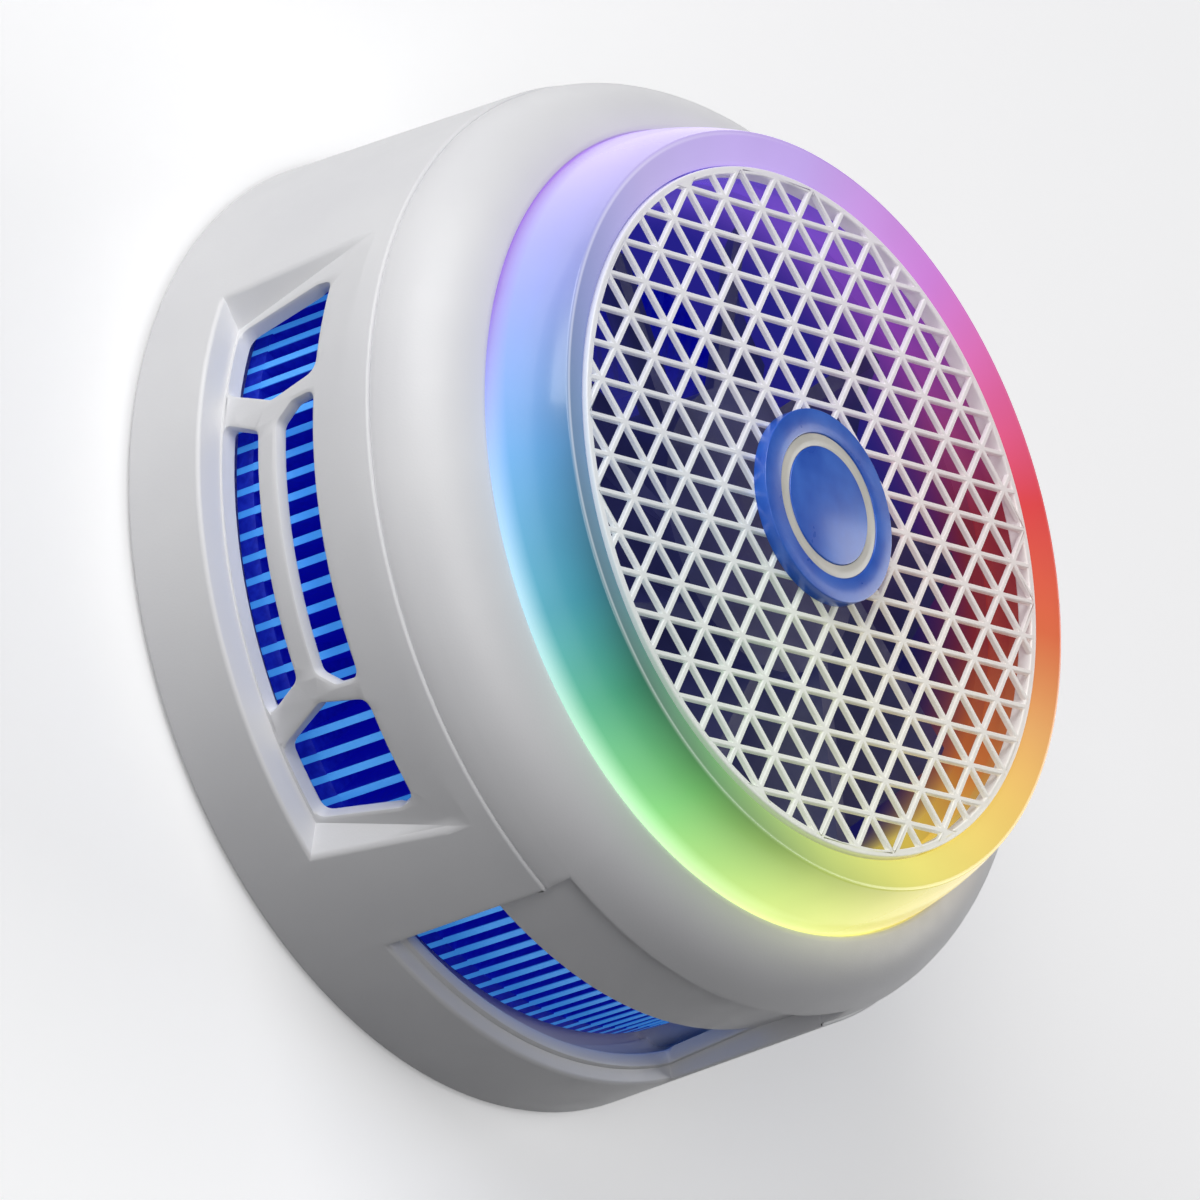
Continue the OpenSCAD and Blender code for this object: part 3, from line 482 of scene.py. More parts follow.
def wall_light(finish, wheel, height):
    """The light of the outer wall, from the foot to the dim lip, with painted shade and a painted hot
    foot on the side turned to the recess.
    """
    climb = height.above(RING_FOOT_Z, 1 / (RING_TOP - RING_FOOT_Z))
    near_foot = climb.below(0.25, 4)
    # Painted shade dims the side turned to the recess towards the lip, and a painted highlight whitens
    # its foot.
    painted_recess_side = painted_side_mask(finish, 225) ** 2
    painted_hot_foot = near_foot * painted_recess_side
    cloud = finish.spread(finish.noise(6, detail=2), -0.03, 0.03)
    level = 1 - climb * climb * (0.2 + 0.55 * painted_recess_side) + 0.45 * painted_hot_foot + cloud
    lit = dimmed(finish, finish.mix(painted_hot_foot * 0.3, wheel, WHITE), level)
    # Painted shade: a violet tint on the foot at the upper left.
    painted_violet_shade = near_foot * painted_side_mask(finish, 150) ** 6
    return finish.mix(painted_violet_shade * 0.9, lit, rgba(150, 105, 205))


def milky_light(name):
    finish = Finish(name, Coat_Roughness=0.1, Emission_Strength=0.95)
    wheel = hue_wheel(finish)
    height, radius = height_mm(finish), radius_mm(finish)
    top = height.above(LEDGE_Z, 8)
    ledge = radius.below(LIP_R, 8) * top
    lit = wall_light(finish, wheel, height)
    # Painted shade: the ledge is darker on the left.
    lit = finish.mix(ledge * painted_side_mask(finish, 200) * 0.45, lit, (0.1, 0.1, 0.12, 1))
    # Painted highlight: a pale line along the lip on the left.
    painted_lip_highlight = abs(radius - LIP_R).below(0.2, 5) * height.above(LIP_LINE_Z, 10)
    lit = finish.mix(painted_lip_highlight * painted_side_mask(finish, 180) * 0.45, lit, WHITE)
    throat = radius.below(THROAT_R, 5) * (1 - top)
    lit = finish.mix(throat, lit, hue_wheel(finish, DUCT_HUES))
    finish.give(Base_Color=finish.mix(0.2, (0.03, 0.03, 0.03, 1), wheel), Emission_Color=lit)
    finish.give(Roughness=0.24 + 0.36 * ledge, Coat_Weight=0.5 - 0.5 * ledge)
    finish.bump(finish.noise(0.25, detail=2), 0.003)
    return finish.material


ring_light = milky_light("milky lit ring")
print("nodes in the ring's finish:", len(ring_light.node_tree.nodes))

# %% [markdown]
# ## Light inside the fan
# The lamps are bright chips in the colour of their place. The duct's wall glows in the
# duct's colours near the top and fades to a deep blue below. Real light from the lamps
# could do this, but it would need many rays to come through the milky wall without
# speckles, so the glow is part of the finish.

# %% Light the lamps and the duct
DUCT_R, DUCT_DEEP_Z, DUCT_FADE = 21.85, 20.5, 0.17


def lamp_light(name):
    finish = Finish(name, Roughness=0.3, Emission_Strength=2.0)
    cloud = finish.noise(0.6, detail=2)
    finish.give(Base_Color=finish.tint(cloud, (255, 246, 220), (255, 236, 190)))
    finish.give(Emission_Color=hue_wheel(finish))
    return finish.material


def duct_painted_glow(name):
    finish = Finish(name, Roughness=0.35, Emission_Strength=0.95)
    finish.give(Base_Color=finish.tint(finish.noise(5), (36, 36, 50), (26, 26, 38)))
    # Painted glow in the duct's colours near the top; the deep blue below is lighter towards +Y.
    near_top = height_mm(finish).above(DUCT_DEEP_Z, DUCT_FADE) ** 2
    _, y, _ = finish.axes()
    upper = (y * (1 / DUCT_R / MM)).clamped()
    deep = finish.mix(upper, rgba(20, 19, 66), rgba(36, 32, 130))
    finish.give(Emission_Color=finish.mix(near_top, deep, hue_wheel(finish, DUCT_HUES)))
    finish.bump(finish.noise(0.2, detail=2), 0.004)
    return finish.material


lamps = lamp_light("lamp")
duct_with_painted_glow = duct_painted_glow("fan duct")
print("lit finishes:", lamps.name, "and", duct_with_painted_glow.name)

# %% [markdown]
# ## The impeller and the lattice in that light
# The impeller is dark plastic in front of a blue glow. It turns, so it may not carry
# colours that stand still, and is a plain dim navy with an even painted glow. The white
# lattice lies over all of it and picks up a little of the light that passes, so it has a
# painted glow of its own white with a share of the wheel of hues mixed in.

# %% Mix the impeller's and the lattice's finish
def navy_painted_glow(name):
    finish = Finish(name, Roughness=0.35, Emission_Strength=0.3)
    drift = finish.noise(5)
    finish.give(Base_Color=finish.tint(drift, (30, 34, 70), (20, 23, 54)))
    # Painted glow: an even dim navy light that stands in for the light on the blades.
    finish.give(Emission_Color=finish.tint(drift, (60, 62, 120), (44, 46, 96)))
    finish.bump(finish.noise(0.2, detail=2), 0.004)
    return finish.material


def lattice_painted_light(name):
    finish = Finish(name, Emission_Strength=0.2)
    white = finish.tint(finish.noise(DRIFT_MM, detail=2), (242, 242, 240), (233, 233, 231))
    finish.give(Base_Color=white)
    # Painted light: the lattice glows with its white and a share of the wheel of hues.
    finish.give(Emission_Color=finish.mix(0.45, white, hue_wheel(finish)))
    finish.give(Roughness=finish.spread(finish.noise(PATCH_MM), 0.31, 0.41))
    finish.bump(finish.noise(GRAIN_MM, detail=2, roughness=0.6), 0.005)
    return finish.material


impeller_navy_painted_glow = navy_painted_glow("impeller navy with painted glow")
white_lattice_painted_light = lattice_painted_light("lattice white with painted light")
print("lit finishes:", impeller_navy_painted_glow.name, "and", white_lattice_painted_light.name)

# %% [markdown]
# ## A finish for every node
# Each node of the packed model keeps its shape and takes a finish from one table.
# Nodes that get a softer piece later are in the table too, so that none is left plain.

# %% Dress the nodes
FINISHES = {
    "contact_pad": thermal_silicone, "thermal_pad": thermal_silicone, "cold_plate": cold_metal,
    "grip_ring": grip_rubber, "sink_gasket": grip_rubber, "insulation_frame": grip_rubber,
    "magnet_tray": tray_plastic, "magnets": nickel, "magnet_back_plate": steel,
    "body_shell": white_case, "front_shell": white_case, "grille": white_lattice_painted_light,
    "light_ring": ring_light, "badge": black_plastic,
    "module_cold_ceramic": ceramic, "module_hot_ceramic": ceramic,
    "module_pellets": semiconductor, "module_leads": lead_rubber,
    "sink_plate": blue_plate_painted_glow, "sink_fins": blue_fins_painted_glow, "sink_screws": steel,
    "fan_frame": duct_with_painted_glow, "fan_screws": steel, "motor_board": green_board,
    "stator_core": core_metal, "stator_coils": copper_wire, "sleeve_bearing": bronze,
    "thrust_pad": natural_plastic, "shaft": steel, "shaft_clip": natural_plastic,
    "rotor_magnet": ferrite, "rotor_yoke": steel, "impeller": impeller_navy_painted_glow,
    "control_board": green_board, "board_parts": black_plastic, "inlet_shell": nickel,
    "inlet_tongue": black_plastic, "ring_board": white_board, "ring_lamps": lamps,
    "case_screws": steel,
}
for name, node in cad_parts.items():
    node.data.materials.clear()
    node.data.materials.append(FINISHES[name])
print("dressed nodes:", len(FINISHES))

# %% [markdown]
# ## The floor
# The cooler lies on a plain pale floor. It looks pale, but throws little light back, so
# that the case grows darker towards its foot. More lamps could make it pale, but they
# would wash the case out too. So the floor's finish asks which kind of ray has met it,
# and shows its pale colour only where it is seen. It lies a hair below the contact face,
# because two faces at one height would flicker.

# %% Lay the floor
FLOOR_DROP, FLOOR_HALF = 0.05 * MM, 3


def floor_finish():
    finish = Finish("pale floor", Roughness=0.7, Emission_Strength=0.3)
    camera_ray = finish.node("ShaderNodeLightPath", {}, {}, "Is Camera Ray")
    rays = camera_ray.socket.node.outputs
    mirrored = Wire(finish, rays["Is Glossy Ray"]) + Wire(finish, rays["Is Transmission Ray"])
    seen = (camera_ray + mirrored).clamped()
    pale = finish.tint(finish.noise(160, detail=2), (250, 250, 251), (246, 246, 247))
    finish.give(Base_Color=finish.mix(seen, rgba(106, 106, 108), pale))
    finish.give(Emission_Color=finish.mix(seen, BLACK, pale))
    return finish.material


floor_mesh = bmesh.new()
below = Matrix.Translation((0, 0, -FLOOR_DROP))
bmesh.ops.create_grid(floor_mesh, x_segments=1, y_segments=1, size=FLOOR_HALF, matrix=below)
floor = bpy.data.objects.new("floor", bpy.data.meshes.new("floor"))
floor_mesh.to_mesh(floor.data)
floor_mesh.free()
floor.data.materials.append(floor_finish())
bpy.context.scene.collection.objects.link(floor)
print("floor:", 2 * FLOOR_HALF, "m wide")

# %% [markdown]
# ## Studio light
# Three soft square lamps are enough. The key light stands close by, between the inlet and
# the left panel, so that the shoulder is bright there and the lower recess lies in shade.
# A second light in front fills in the left side, and one from the far side lifts the right
# edge. All three look at the foot of the axis, and their places are in metres.

# %% Light the studio
LAMP_WIDTH, SKY_COLOUR, SKY_STRENGTH = 0.45, (0.92, 0.94, 1.0, 1), 0.03


def soft_light(name, place, watts):
    lamp = bpy.data.objects.new(name, bpy.data.lights.new(name, "AREA"))
    lamp.data.energy, lamp.data.size = watts, LAMP_WIDTH
    lamp.location = place
    lamp.rotation_euler = (-Vector(place)).to_track_quat("-Z", "Y").to_euler()
    bpy.context.scene.collection.objects.link(lamp)


soft_light("key", (-0.42, 0.32, 0.28), 2.7)
soft_light("fill", (-0.47, -0.22, 0.61), 1.75)
soft_light("rim", (0.71, 0.13, 0.34), 2.1)
world = bpy.data.worlds.new("studio")
world.use_nodes = True
sky = world.node_tree.nodes["Background"]
sky.inputs["Color"].default_value = SKY_COLOUR
sky.inputs["Strength"].default_value = SKY_STRENGTH
bpy.context.scene.world = world

# %% [markdown]
# ## A sheet to roll up
# The case is a drum with windows, sunk panels and a recess. Cut straight into a drum
# every one of them would be a curved cut. So the wall starts as a flat sheet, where an
# angle is a distance to the side and a height stays a height. There the edges are
# straight cuts with a bisecting plane, a panel is a face that is extruded inwards, and a
# window is an outline inside a face that is filled again around it. Then the sheet gets
# its wall thickness and its soft edges, and last it is rolled round the axis and its two
# ends are merged. The sheet is kept in millimetres until it is rolled.

# %% Cut and sink a flat sheet
SHEET_R = 32                            # radius at which the sheet is as wide as the drum is round
DEGREE = math.radians(1) * SHEET_R      # width of one degree on the sheet
SEAM = 135.0                            # angle where the sheet's ends meet, and where no cut crosses
SPARE = 1.0                             # degrees of sheet past each end, trimmed before it is rolled
EVERYWHERE = (-999, 999)
NEAR = 1e-4                             # points that are closer than this are one place


def start_sheet(low, high):
    sheet = bmesh.new()
    bmesh.ops.create_grid(sheet, x_segments=1, y_segments=1, size=0.5)
    stretch = Matrix.Diagonal(((360 + 2 * SPARE) * DEGREE, high - low, 1, 1))
    middle = Matrix.Translation(((SEAM + 180) * DEGREE, (low + high) / 2, 0))
    bmesh.ops.transform(sheet, verts=sheet.verts, matrix=middle @ stretch)
    return sheet


def faces_in(sheet, angles, heights):
    found = []
    for face in sheet.faces:
        middle = face.calc_center_bounds()
        if angles[0] < middle.x / DEGREE < angles[1] and heights[0] < middle.y < heights[1]:
            found.append(face)
    return found


def cut(sheet, angles=(), heights=(), within=EVERYWHERE):
    planes = [((a * DEGREE, 0, 0), (1, 0, 0)) for a in angles]
    planes += [((0, h, 0), (0, 1, 0)) for h in heights]
    for point, normal in planes:
        faces = faces_in(sheet, within, EVERYWHERE)
        parts = {v for f in faces for v in f.verts} | {e for f in faces for e in f.edges} | set(faces)
        bmesh.ops.bisect_plane(sheet, geom=list(parts), dist=1e-5, plane_co=point, plane_no=normal)


def verts_of(geometry):
    return [g for g in geometry if isinstance(g, bmesh.types.BMVert)]


def drop_loose(sheet):
    bmesh.ops.delete(sheet, geom=[e for e in sheet.edges if not e.link_faces], context="EDGES")


def sink(sheet, faces, depth):
    made = bmesh.ops.extrude_face_region(sheet, geom=faces)["geom"]
    bmesh.ops.delete(sheet, geom=faces, context="FACES_ONLY")
    for vert in verts_of(made):
        vert.co.z = -depth(vert.co.y)
    return [g for g in made if isinstance(g, bmesh.types.BMFace)]


print("one degree is", round(DEGREE, 4), "mm of sheet")

# %% [markdown]
# ## Windows in a sheet
# A window could be cut with a Boolean, which leaves stray slivers. Here the faces around
# it are taken away, the window's outline is drawn in their place, and the space between is
# filled with triangles. All of them lie in one plane, so they don't show. A corner is
# rounded by a short curve that leaves one side and meets the next.

# %% Open windows in a sheet
def open_holes(sheet, faces, outlines, depth):
    inside = set(faces)
    around = {e for f in faces for e in f.edges}
    between = [e for e in around if len(e.link_faces) == 2 and inside.issuperset(e.link_faces)]
    edges = list(around.difference(between))
    bmesh.ops.delete(sheet, geom=faces, context="FACES_ONLY")
    bmesh.ops.delete(sheet, geom=between, context="EDGES")
    for outline in outlines:
        verts = [sheet.verts.new((x, y, -depth(y))) for x, y in outline]
        edges += [sheet.edges.new(pair) for pair in zip(verts, verts[1:] + verts[:1])]
    bmesh.ops.triangle_fill(sheet, edges=edges, use_beauty=True, normal=(0, 0, 1))


def rounded(corners, radius, steps=4):
    outline = []
    for before, corner, after in zip(corners[-1:] + corners[:-1], corners, corners[1:] + corners[:1]):
        here = Vector(corner)
        a, b = Vector(before) - here, Vector(after) - here
        reach = min(radius / math.tan(a.angle(b) / 2), 0.45 * a.length, 0.45 * b.length)
        a, b = a.normalized() * reach, b.normalized() * reach
        for k in range(steps + 1):
            t = k / steps
            outline.append(tuple(here + (1 - t) ** 2 * a + t ** 2 * b))
    return outline


print("a rounded corner has", len(rounded([(0, 0), (1, 0), (0, 1)], 0.1)) // 3, "points")

# %% [markdown]
# ## Thickness and soft edges
# A moulded wall is about a millimetre thick and has no sharp edge. Solidify turns the
# sheet into a wall, after the normals agree on which side is out. A Bevel modifier would
# soften every edge alike, so the operator is used, with a rule that picks the edges. They
# are beveled while the sheet is flat and has few faces, so that no bevel runs into the
# next edge.

# %% Thicken and soften
FOLD = 0.5                              # an edge that folds by more than this, in radians, is softened


def thicken(sheet, wall):
    bmesh.ops.recalc_face_normals(sheet, faces=sheet.faces)
    if sum(f.normal.z * f.calc_area() for f in sheet.faces) < 0:
        bmesh.ops.reverse_faces(sheet, faces=sheet.faces)
    bmesh.ops.solidify(sheet, geom=sheet.faces[:], thickness=wall)
    bmesh.ops.recalc_face_normals(sheet, faces=sheet.faces)


def soften(mesh, width, wanted, segments=2):
    folded = [e for e in mesh.edges if e.is_convex and e.calc_face_angle(0) > FOLD]
    edges = [e for e in folded if wanted((e.verts[0].co + e.verts[1].co) / 2)]
    bmesh.ops.bevel(mesh, geom=edges, offset=width, offset_type="OFFSET", segments=segments,
                    profile=0.5, affect="EDGES", material=-1, clamp_overlap=False)
    return len(edges)


print("edges are softened from a fold of", round(math.degrees(FOLD)), "degrees")

# %% [markdown]
# ## Rolling and keeping a piece
# The spare ends are trimmed off first, so that both ends have the same outline and meet
# exactly. Rolling needs enough columns to look round, so the sheet is bisected every two
# degrees just before. A rule, which differs from piece to piece, says where a height on
# the sheet and a distance from it end up.
# A wide face beside a narrow bevel would be shaded as if it were curved. The Weighted
# Normal modifier lets the wide face decide, and keeps the sharp edges sharp. Each piece
# then rides the case, and the node whose place it takes is hidden.

# %% Roll a sheet and keep a piece
def roll(sheet, place, step=2):
    for end, side in ((SEAM, -1), (SEAM + 360, 1)):
        everything = sheet.verts[:] + sheet.edges[:] + sheet.faces[:]
        bmesh.ops.bisect_plane(sheet, geom=everything, dist=1e-5, clear_outer=True,
                               plane_co=(end * DEGREE, 0, 0), plane_no=(side, 0, 0))
    cut(sheet, range(int(SEAM) + step, int(SEAM) + 360, step))
    for vert in sheet.verts:
        turn = math.radians(vert.co.x / DEGREE)
        r, z = place(vert.co.y, vert.co.z)
        vert.co = Vector((r * math.cos(turn), r * math.sin(turn), z)) * MM
    bmesh.ops.remove_doubles(sheet, verts=sheet.verts, dist=1e-6)


def face_outwards(mesh):
    bmesh.ops.recalc_face_normals(mesh, faces=mesh.faces)
    if mesh.calc_volume(signed=True) < 0:
        bmesh.ops.reverse_faces(mesh, faces=mesh.faces)


def keep_piece(mesh, name, finish, node, smooth=35):
    face_outwards(mesh)
    for face in mesh.faces:
        face.smooth = True
    piece = bpy.data.objects.new(name, bpy.data.meshes.new(name))
    mesh.to_mesh(piece.data)
    mesh.free()
    piece.data.set_sharp_from_angle(angle=math.radians(smooth))
    piece.data.materials.append(finish)
    bpy.context.scene.collection.objects.link(piece)
    piece.modifiers.new("weighted normals", "WEIGHTED_NORMAL").keep_sharp = True
    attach(piece, "case")
    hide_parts(node)
    print(name, "faces:", len(piece.data.polygons))


# %% [markdown]
# ## The case body and its windows
# The case is one moulded drum that leans in by 0.7 mm over its height. A panel is sunk
# into it on either side, and air leaves through two slots and two end windows in each. A
# window's outline could be drawn point by point, but a few corner points are easier to
# change, and the corners are rounded afterwards. Both panels use the same points.

# %% Draw the panels and their windows
FOOT_R, WALL_LEAN, WALL_HEIGHT = reach("body_shell"), 0.7, 20
PANELS, PANEL_HALF, PANEL_Z, PANEL_SINK = (195.0, 345.0), 38.0, (6.2, 18.4), 1.9
PANEL_SLANT, END_DRAFT, REAR_DRAFT, PANEL_FLOOR_R = 2.8, 0.8, 0.25, 30.6
SLOT_HALF, SLOT_CORNER, END_AT, END_CORNER = 15.2, 0.75, 26.5, 1.0
LOW_SLOT_END = [(1.65, 6.6), (1.0, 8.0), (0.1, 9.85)]
HIGH_SLOT_END = [(0.1, 11.65), (1.15, 13.0), (1.2, 15.0)]
END_WINDOW = [(-3.35, 15.0), (-4.05, 11.0), (-2.1, 6.7), (2.85, 6.7), (3.7, 13.6), (3.35, 15.0)]


def wall_r(z):
    return FOOT_R - WALL_LEAN * z / WALL_HEIGHT


def panel_depth(z):
    return PANEL_SINK * (PANEL_Z[1] - z) / (PANEL_Z[1] - PANEL_Z[0])


def panel_end(centre, side, z, depth=0.0):
    slant = PANEL_SLANT * (PANEL_Z[1] - z) / (PANEL_Z[1] - PANEL_Z[0])
    return (centre + side * (PANEL_HALF - slant)) * DEGREE - side * END_DRAFT * depth


def panel_windows(centre):
    middle, grow = centre * DEGREE, SHEET_R / PANEL_FLOOR_R
    outlines = []
    for end in (LOW_SLOT_END, HIGH_SLOT_END):
        right_end = [(middle + SLOT_HALF * DEGREE + t * grow, z) for t, z in end]
        left_end = [(middle - SLOT_HALF * DEGREE - t * grow, z) for t, z in reversed(end)]
        outlines.append(rounded(right_end + left_end, SLOT_CORNER, 6))
    for side in (-1, 1):
        corners = [(middle + side * (END_AT * DEGREE + t * grow), z) for t, z in END_WINDOW]
        outlines.append(rounded(corners, END_CORNER, 6))
    return outlines


print("windows in a panel:", len(panel_windows(PANELS[0])))

# %% [markdown]
# ## The sunk panels
# A panel is sunk 1.9 mm at the rear and runs out to nothing at the front, and its end
# walls slope. A scaled box could be cut out for it, but then each wall would need its own
# slope. So the panel's face is extruded inwards by a depth that depends on the height, and
# the points of its walls are slid to where the slopes have them.

# %% Sink the panels
FOOT_Z, BODY_TOP, RECESS = heights("body_shell")[0], 19.98, (244.0, 296.0)
PANEL_SOFT = 16.4              # the panel's ends are soft up to this height, and thin out above


def slope_walls(sheet, centre):
    for vert in sheet.verts:
        x, z = vert.co.x, vert.co.y
        if PANEL_Z[0] - 0.01 < z < PANEL_Z[1] + 0.01:
            for side in (-1, 1):
                if abs(x - (centre + side * PANEL_HALF) * DEGREE) < 1e-3:
                    vert.co.x = panel_end(centre, side, z, -vert.co.z)
            if vert.co.z < -PANEL_SINK + 0.01 and abs(x / DEGREE - centre) < PANEL_HALF + 1:
                vert.co.y += REAR_DRAFT
                vert.co.z = -panel_depth(vert.co.y)
    sheet.normal_update()


body = start_sheet(FOOT_Z, BODY_TOP)
panel_ends = [centre + side * PANEL_HALF for centre in PANELS for side in (-1, 1)]
cut(body, panel_ends + list(RECESS))
for centre in PANELS:
    span = (centre - PANEL_HALF, centre + PANEL_HALF)
    cut(body, heights=(PANEL_Z[0], PANEL_SOFT, PANEL_Z[1]), within=span)
    sink(body, faces_in(body, span, PANEL_Z), panel_depth)
    bmesh.ops.remove_doubles(body, verts=body.verts, dist=NEAR)
    slope_walls(body, centre)
    panel_floor = [f for f in faces_in(body, span, PANEL_Z) if f.normal.z > 0.9]
    open_holes(body, panel_floor, panel_windows(centre), panel_depth)
print("sheet faces:", len(body.faces))

# %% [markdown]
# ## The recess
# The lower recess has a floor that is level in front and rises behind a bend, a small
# rear lip, one wide window, and a tongue that reaches up behind the front shell. It is
# sunk like a panel. Its end at the seam is left open, and the floor's edge there is
# extruded once more to make the tongue, which could not be sunk because it stands above
# the sheet.

# %% Sink the recess and raise its tongue
RECESS_R, RECESS_LIP_Z, TONGUE_TOP, TONGUE_DRAFT = 30.586, (7.1, 7.35), 21.65, 0.4
RECESS_BEND, RECESS_RISE = 15.0, 0.088     # behind the bend the floor rises, in mm for each mm
RECESS_WINDOW, RECESS_CORNER = ((245, 7.8), (295, 7.8), (295, 15), (245, 15)), 0.3


def recess_depth(z):
    return wall_r(z) - RECESS_R - RECESS_RISE * max(0, RECESS_BEND - z)


cut(body, heights=(RECESS_LIP_Z[0], RECESS_BEND), within=RECESS)
recess_floor = sink(body, faces_in(body, RECESS, (RECESS_LIP_Z[0], BODY_TOP)), recess_depth)
for vert in {v for f in recess_floor for v in f.verts if abs(v.co.y - RECESS_LIP_Z[0]) < NEAR}:
    vert.co.y, vert.co.z = RECESS_LIP_Z[1], -recess_depth(RECESS_LIP_Z[1])
recess_window = rounded([(a * DEGREE, z) for a, z in RECESS_WINDOW], RECESS_CORNER)
open_holes(body, recess_floor, [recess_window], recess_depth)

lids = [f for f in body.faces if all(abs(v.co.y - BODY_TOP) < NEAR for v in f.verts)]
bmesh.ops.delete(body, geom=lids, context="FACES_ONLY")
drop_loose(body)
tongue_foot = [e for e in body.edges if e.is_boundary
               and all(abs(v.co.y - BODY_TOP) < NEAR and v.co.z < -0.5 for v in e.verts)]
recess_middle = sum(RECESS) / 2 * DEGREE
for vert in verts_of(bmesh.ops.extrude_edge_only(body, edges=tongue_foot)["geom"]):
    vert.co.x += math.copysign(TONGUE_DRAFT * DEGREE, recess_middle - vert.co.x)
    vert.co.y, vert.co.z = TONGUE_TOP, -recess_depth(TONGUE_TOP)
print("sheet faces:", len(body.faces))

# %% [markdown]
# ## The inlet's hole and the foot
# The power inlet has an oval hole in the upper side, two half circles side by side, and a
# formula gives their points. At the foot the wall turns inwards to the tray that closes
# the case, so the sheet's lower edge is extruded to that radius. The wall then gets its
# thickness all at once.

# %% Add the inlet's hole and the foot
INLET_HALF, INLET_R, INLET_Z = 2.84, 1.73, sum(heights("inlet_shell")) / 2
INLET_AT, AROUND_INLET = 450, (430, 470)
FOOT_IN_R, WALL = 30.503, 1.0

inlet_hole = []
for side in (1, -1):
    for degrees in range(-90, 91, 15):
        turn = math.radians(degrees)
        inlet_hole.append((INLET_AT * DEGREE + side * (INLET_HALF + INLET_R * math.cos(turn)),
                           INLET_Z + side * INLET_R * math.sin(turn)))
cut(body, AROUND_INLET)
open_holes(body, faces_in(body, AROUND_INLET, EVERYWHERE), [inlet_hole], lambda z: 0.0)

foot = [e for e in body.edges if e.is_boundary and all(abs(v.co.y - FOOT_Z) < NEAR for v in e.verts)]
for vert in verts_of(bmesh.ops.extrude_edge_only(body, edges=foot)["geom"]):
    vert.co.z = FOOT_IN_R - wall_r(FOOT_Z)
thicken(body, WALL)
print("faces of the wall:", len(body.faces))

# %% [markdown]
# ## Which edges are softened
# All edges could be beveled at once, but a bevel needs room, and where two meet at a
# corner they tangle. So the edges are softened in three goes, each with its own width:
# the seam to the front shell, the panels' rims, and whatever else is folded, apart from
# the places that the first two goes have used up. Each rule looks at an edge's middle.

# %% Soften the body and roll it
SEAM_SOFT, RIM_SOFT, EDGE_SOFT = 0.18, 0.3, 0.28
ON_LINE = 0.02                          # an edge whose middle is this near to a line lies on it
OUTSIDE = -0.05                         # the wall's outer side lies above this depth
DEEPEST = -2.1                          # edges that lie deeper than this stay sharp
PANEL_REAR_Z = 5                        # the panels' walls lie in front of this, on the inside too
END_BAND, SEAM_BAND = (-0.3, 1.7), 0.25  # how far the first two goes reach from their edges


def seam_edge(middle):
    return abs(middle.y - BODY_TOP) < ON_LINE and middle.z > OUTSIDE


def inside_end(middle):
    ends = [side * (panel_end(c, side, middle.y) - middle.x) for c in PANELS for side in (-1, 1)]
    return min(ends, key=abs)


def in_panel(middle, margin=0):
    return min(abs(middle.x / DEGREE - c) for c in PANELS) < PANEL_HALF + margin


def panel_rim(middle):
    at_end = abs(inside_end(middle)) < ON_LINE and PANEL_Z[0] < middle.y < PANEL_SOFT
    at_rear = abs(middle.y - PANEL_Z[0]) < ON_LINE and in_panel(middle)
    return middle.z > OUTSIDE and (at_end or at_rear)


def other_edge(middle):
    beside_end = END_BAND[0] < inside_end(middle) < END_BAND[1]
    near_end = beside_end and PANEL_REAR_Z < middle.y < PANEL_Z[1] + 0.2
    near_rear = in_panel(middle, margin=1) and PANEL_REAR_Z < middle.y < PANEL_Z[0] + 0.6
    near_seam = abs(middle.y - BODY_TOP) < SEAM_BAND and middle.z > -SEAM_BAND
    return middle.z > DEEPEST and not (near_end or near_rear or near_seam)


print("seam edges:", soften(body, SEAM_SOFT, seam_edge, 3))
print("panel rim edges:", soften(body, RIM_SOFT, panel_rim, 3))
print("other edges:", soften(body, EDGE_SOFT, other_edge))
roll(body, lambda z, d: (wall_r(z) + d, z))
keep_piece(body, "case_body", white_case, "body_shell")

# %% [markdown]
# ## The front shell
# The front half of the case has a round shoulder and a notch over the recess. It could be
# spun, but the notch would then be a curved cut. So it is rolled from a sheet too, whose
# height runs along a quarter round from the seam to the light ring. Only the rule that
# places a point differs: past the short straight start, the height on the sheet is an
# arc's length, and the arc gives the radius and the real height. The notch is a face that
# is deleted.

# %% Roll the front shell
ARC_R, ARC_C, ARC_Z, FRONT_Z, OPENING = 5.6, 26.0, 20.2, 20.0, 26.953
ARC_REST, NOTCH_Z, FRONT_WALL = 1.0, 21.8, 1.5
NOTCH_ROWS, SHOULDER_ROWS = 4, 14
FRONT_SEAM_SOFT, FRONT_SOFT, FRONT_OUTSIDE = 0.03, 0.22, -0.3
front_span = ARC_Z - FRONT_Z + ARC_R * math.acos(ARC_REST / ARC_R)
notch_top = ARC_Z - FRONT_Z + ARC_R * math.asin((NOTCH_Z - ARC_Z) / ARC_R)


def on_shoulder(height, outwards):
    turn = max(0, height - ARC_Z + FRONT_Z) / ARC_R
    r = ARC_C + (ARC_R + outwards) * math.cos(turn)
    z = min(ARC_Z, FRONT_Z + height) + (ARC_R + outwards) * math.sin(turn)
    return max(r, OPENING), z


front = start_sheet(0, front_span)
front_rows = [notch_top * i / NOTCH_ROWS for i in range(1, NOTCH_ROWS + 1)]
shoulder_span = front_span - notch_top
front_rows += [notch_top + shoulder_span * i / SHOULDER_ROWS for i in range(1, SHOULDER_ROWS)]
cut(front, RECESS, front_rows)
bmesh.ops.delete(front, geom=faces_in(front, RECESS, (0, notch_top)), context="FACES")
thicken(front, FRONT_WALL)


def front_seam(middle):
    return middle.y < ON_LINE and middle.z > FRONT_OUTSIDE


def notch_or_opening(middle):
    return middle.y > 0.3 and middle.z > FRONT_OUTSIDE


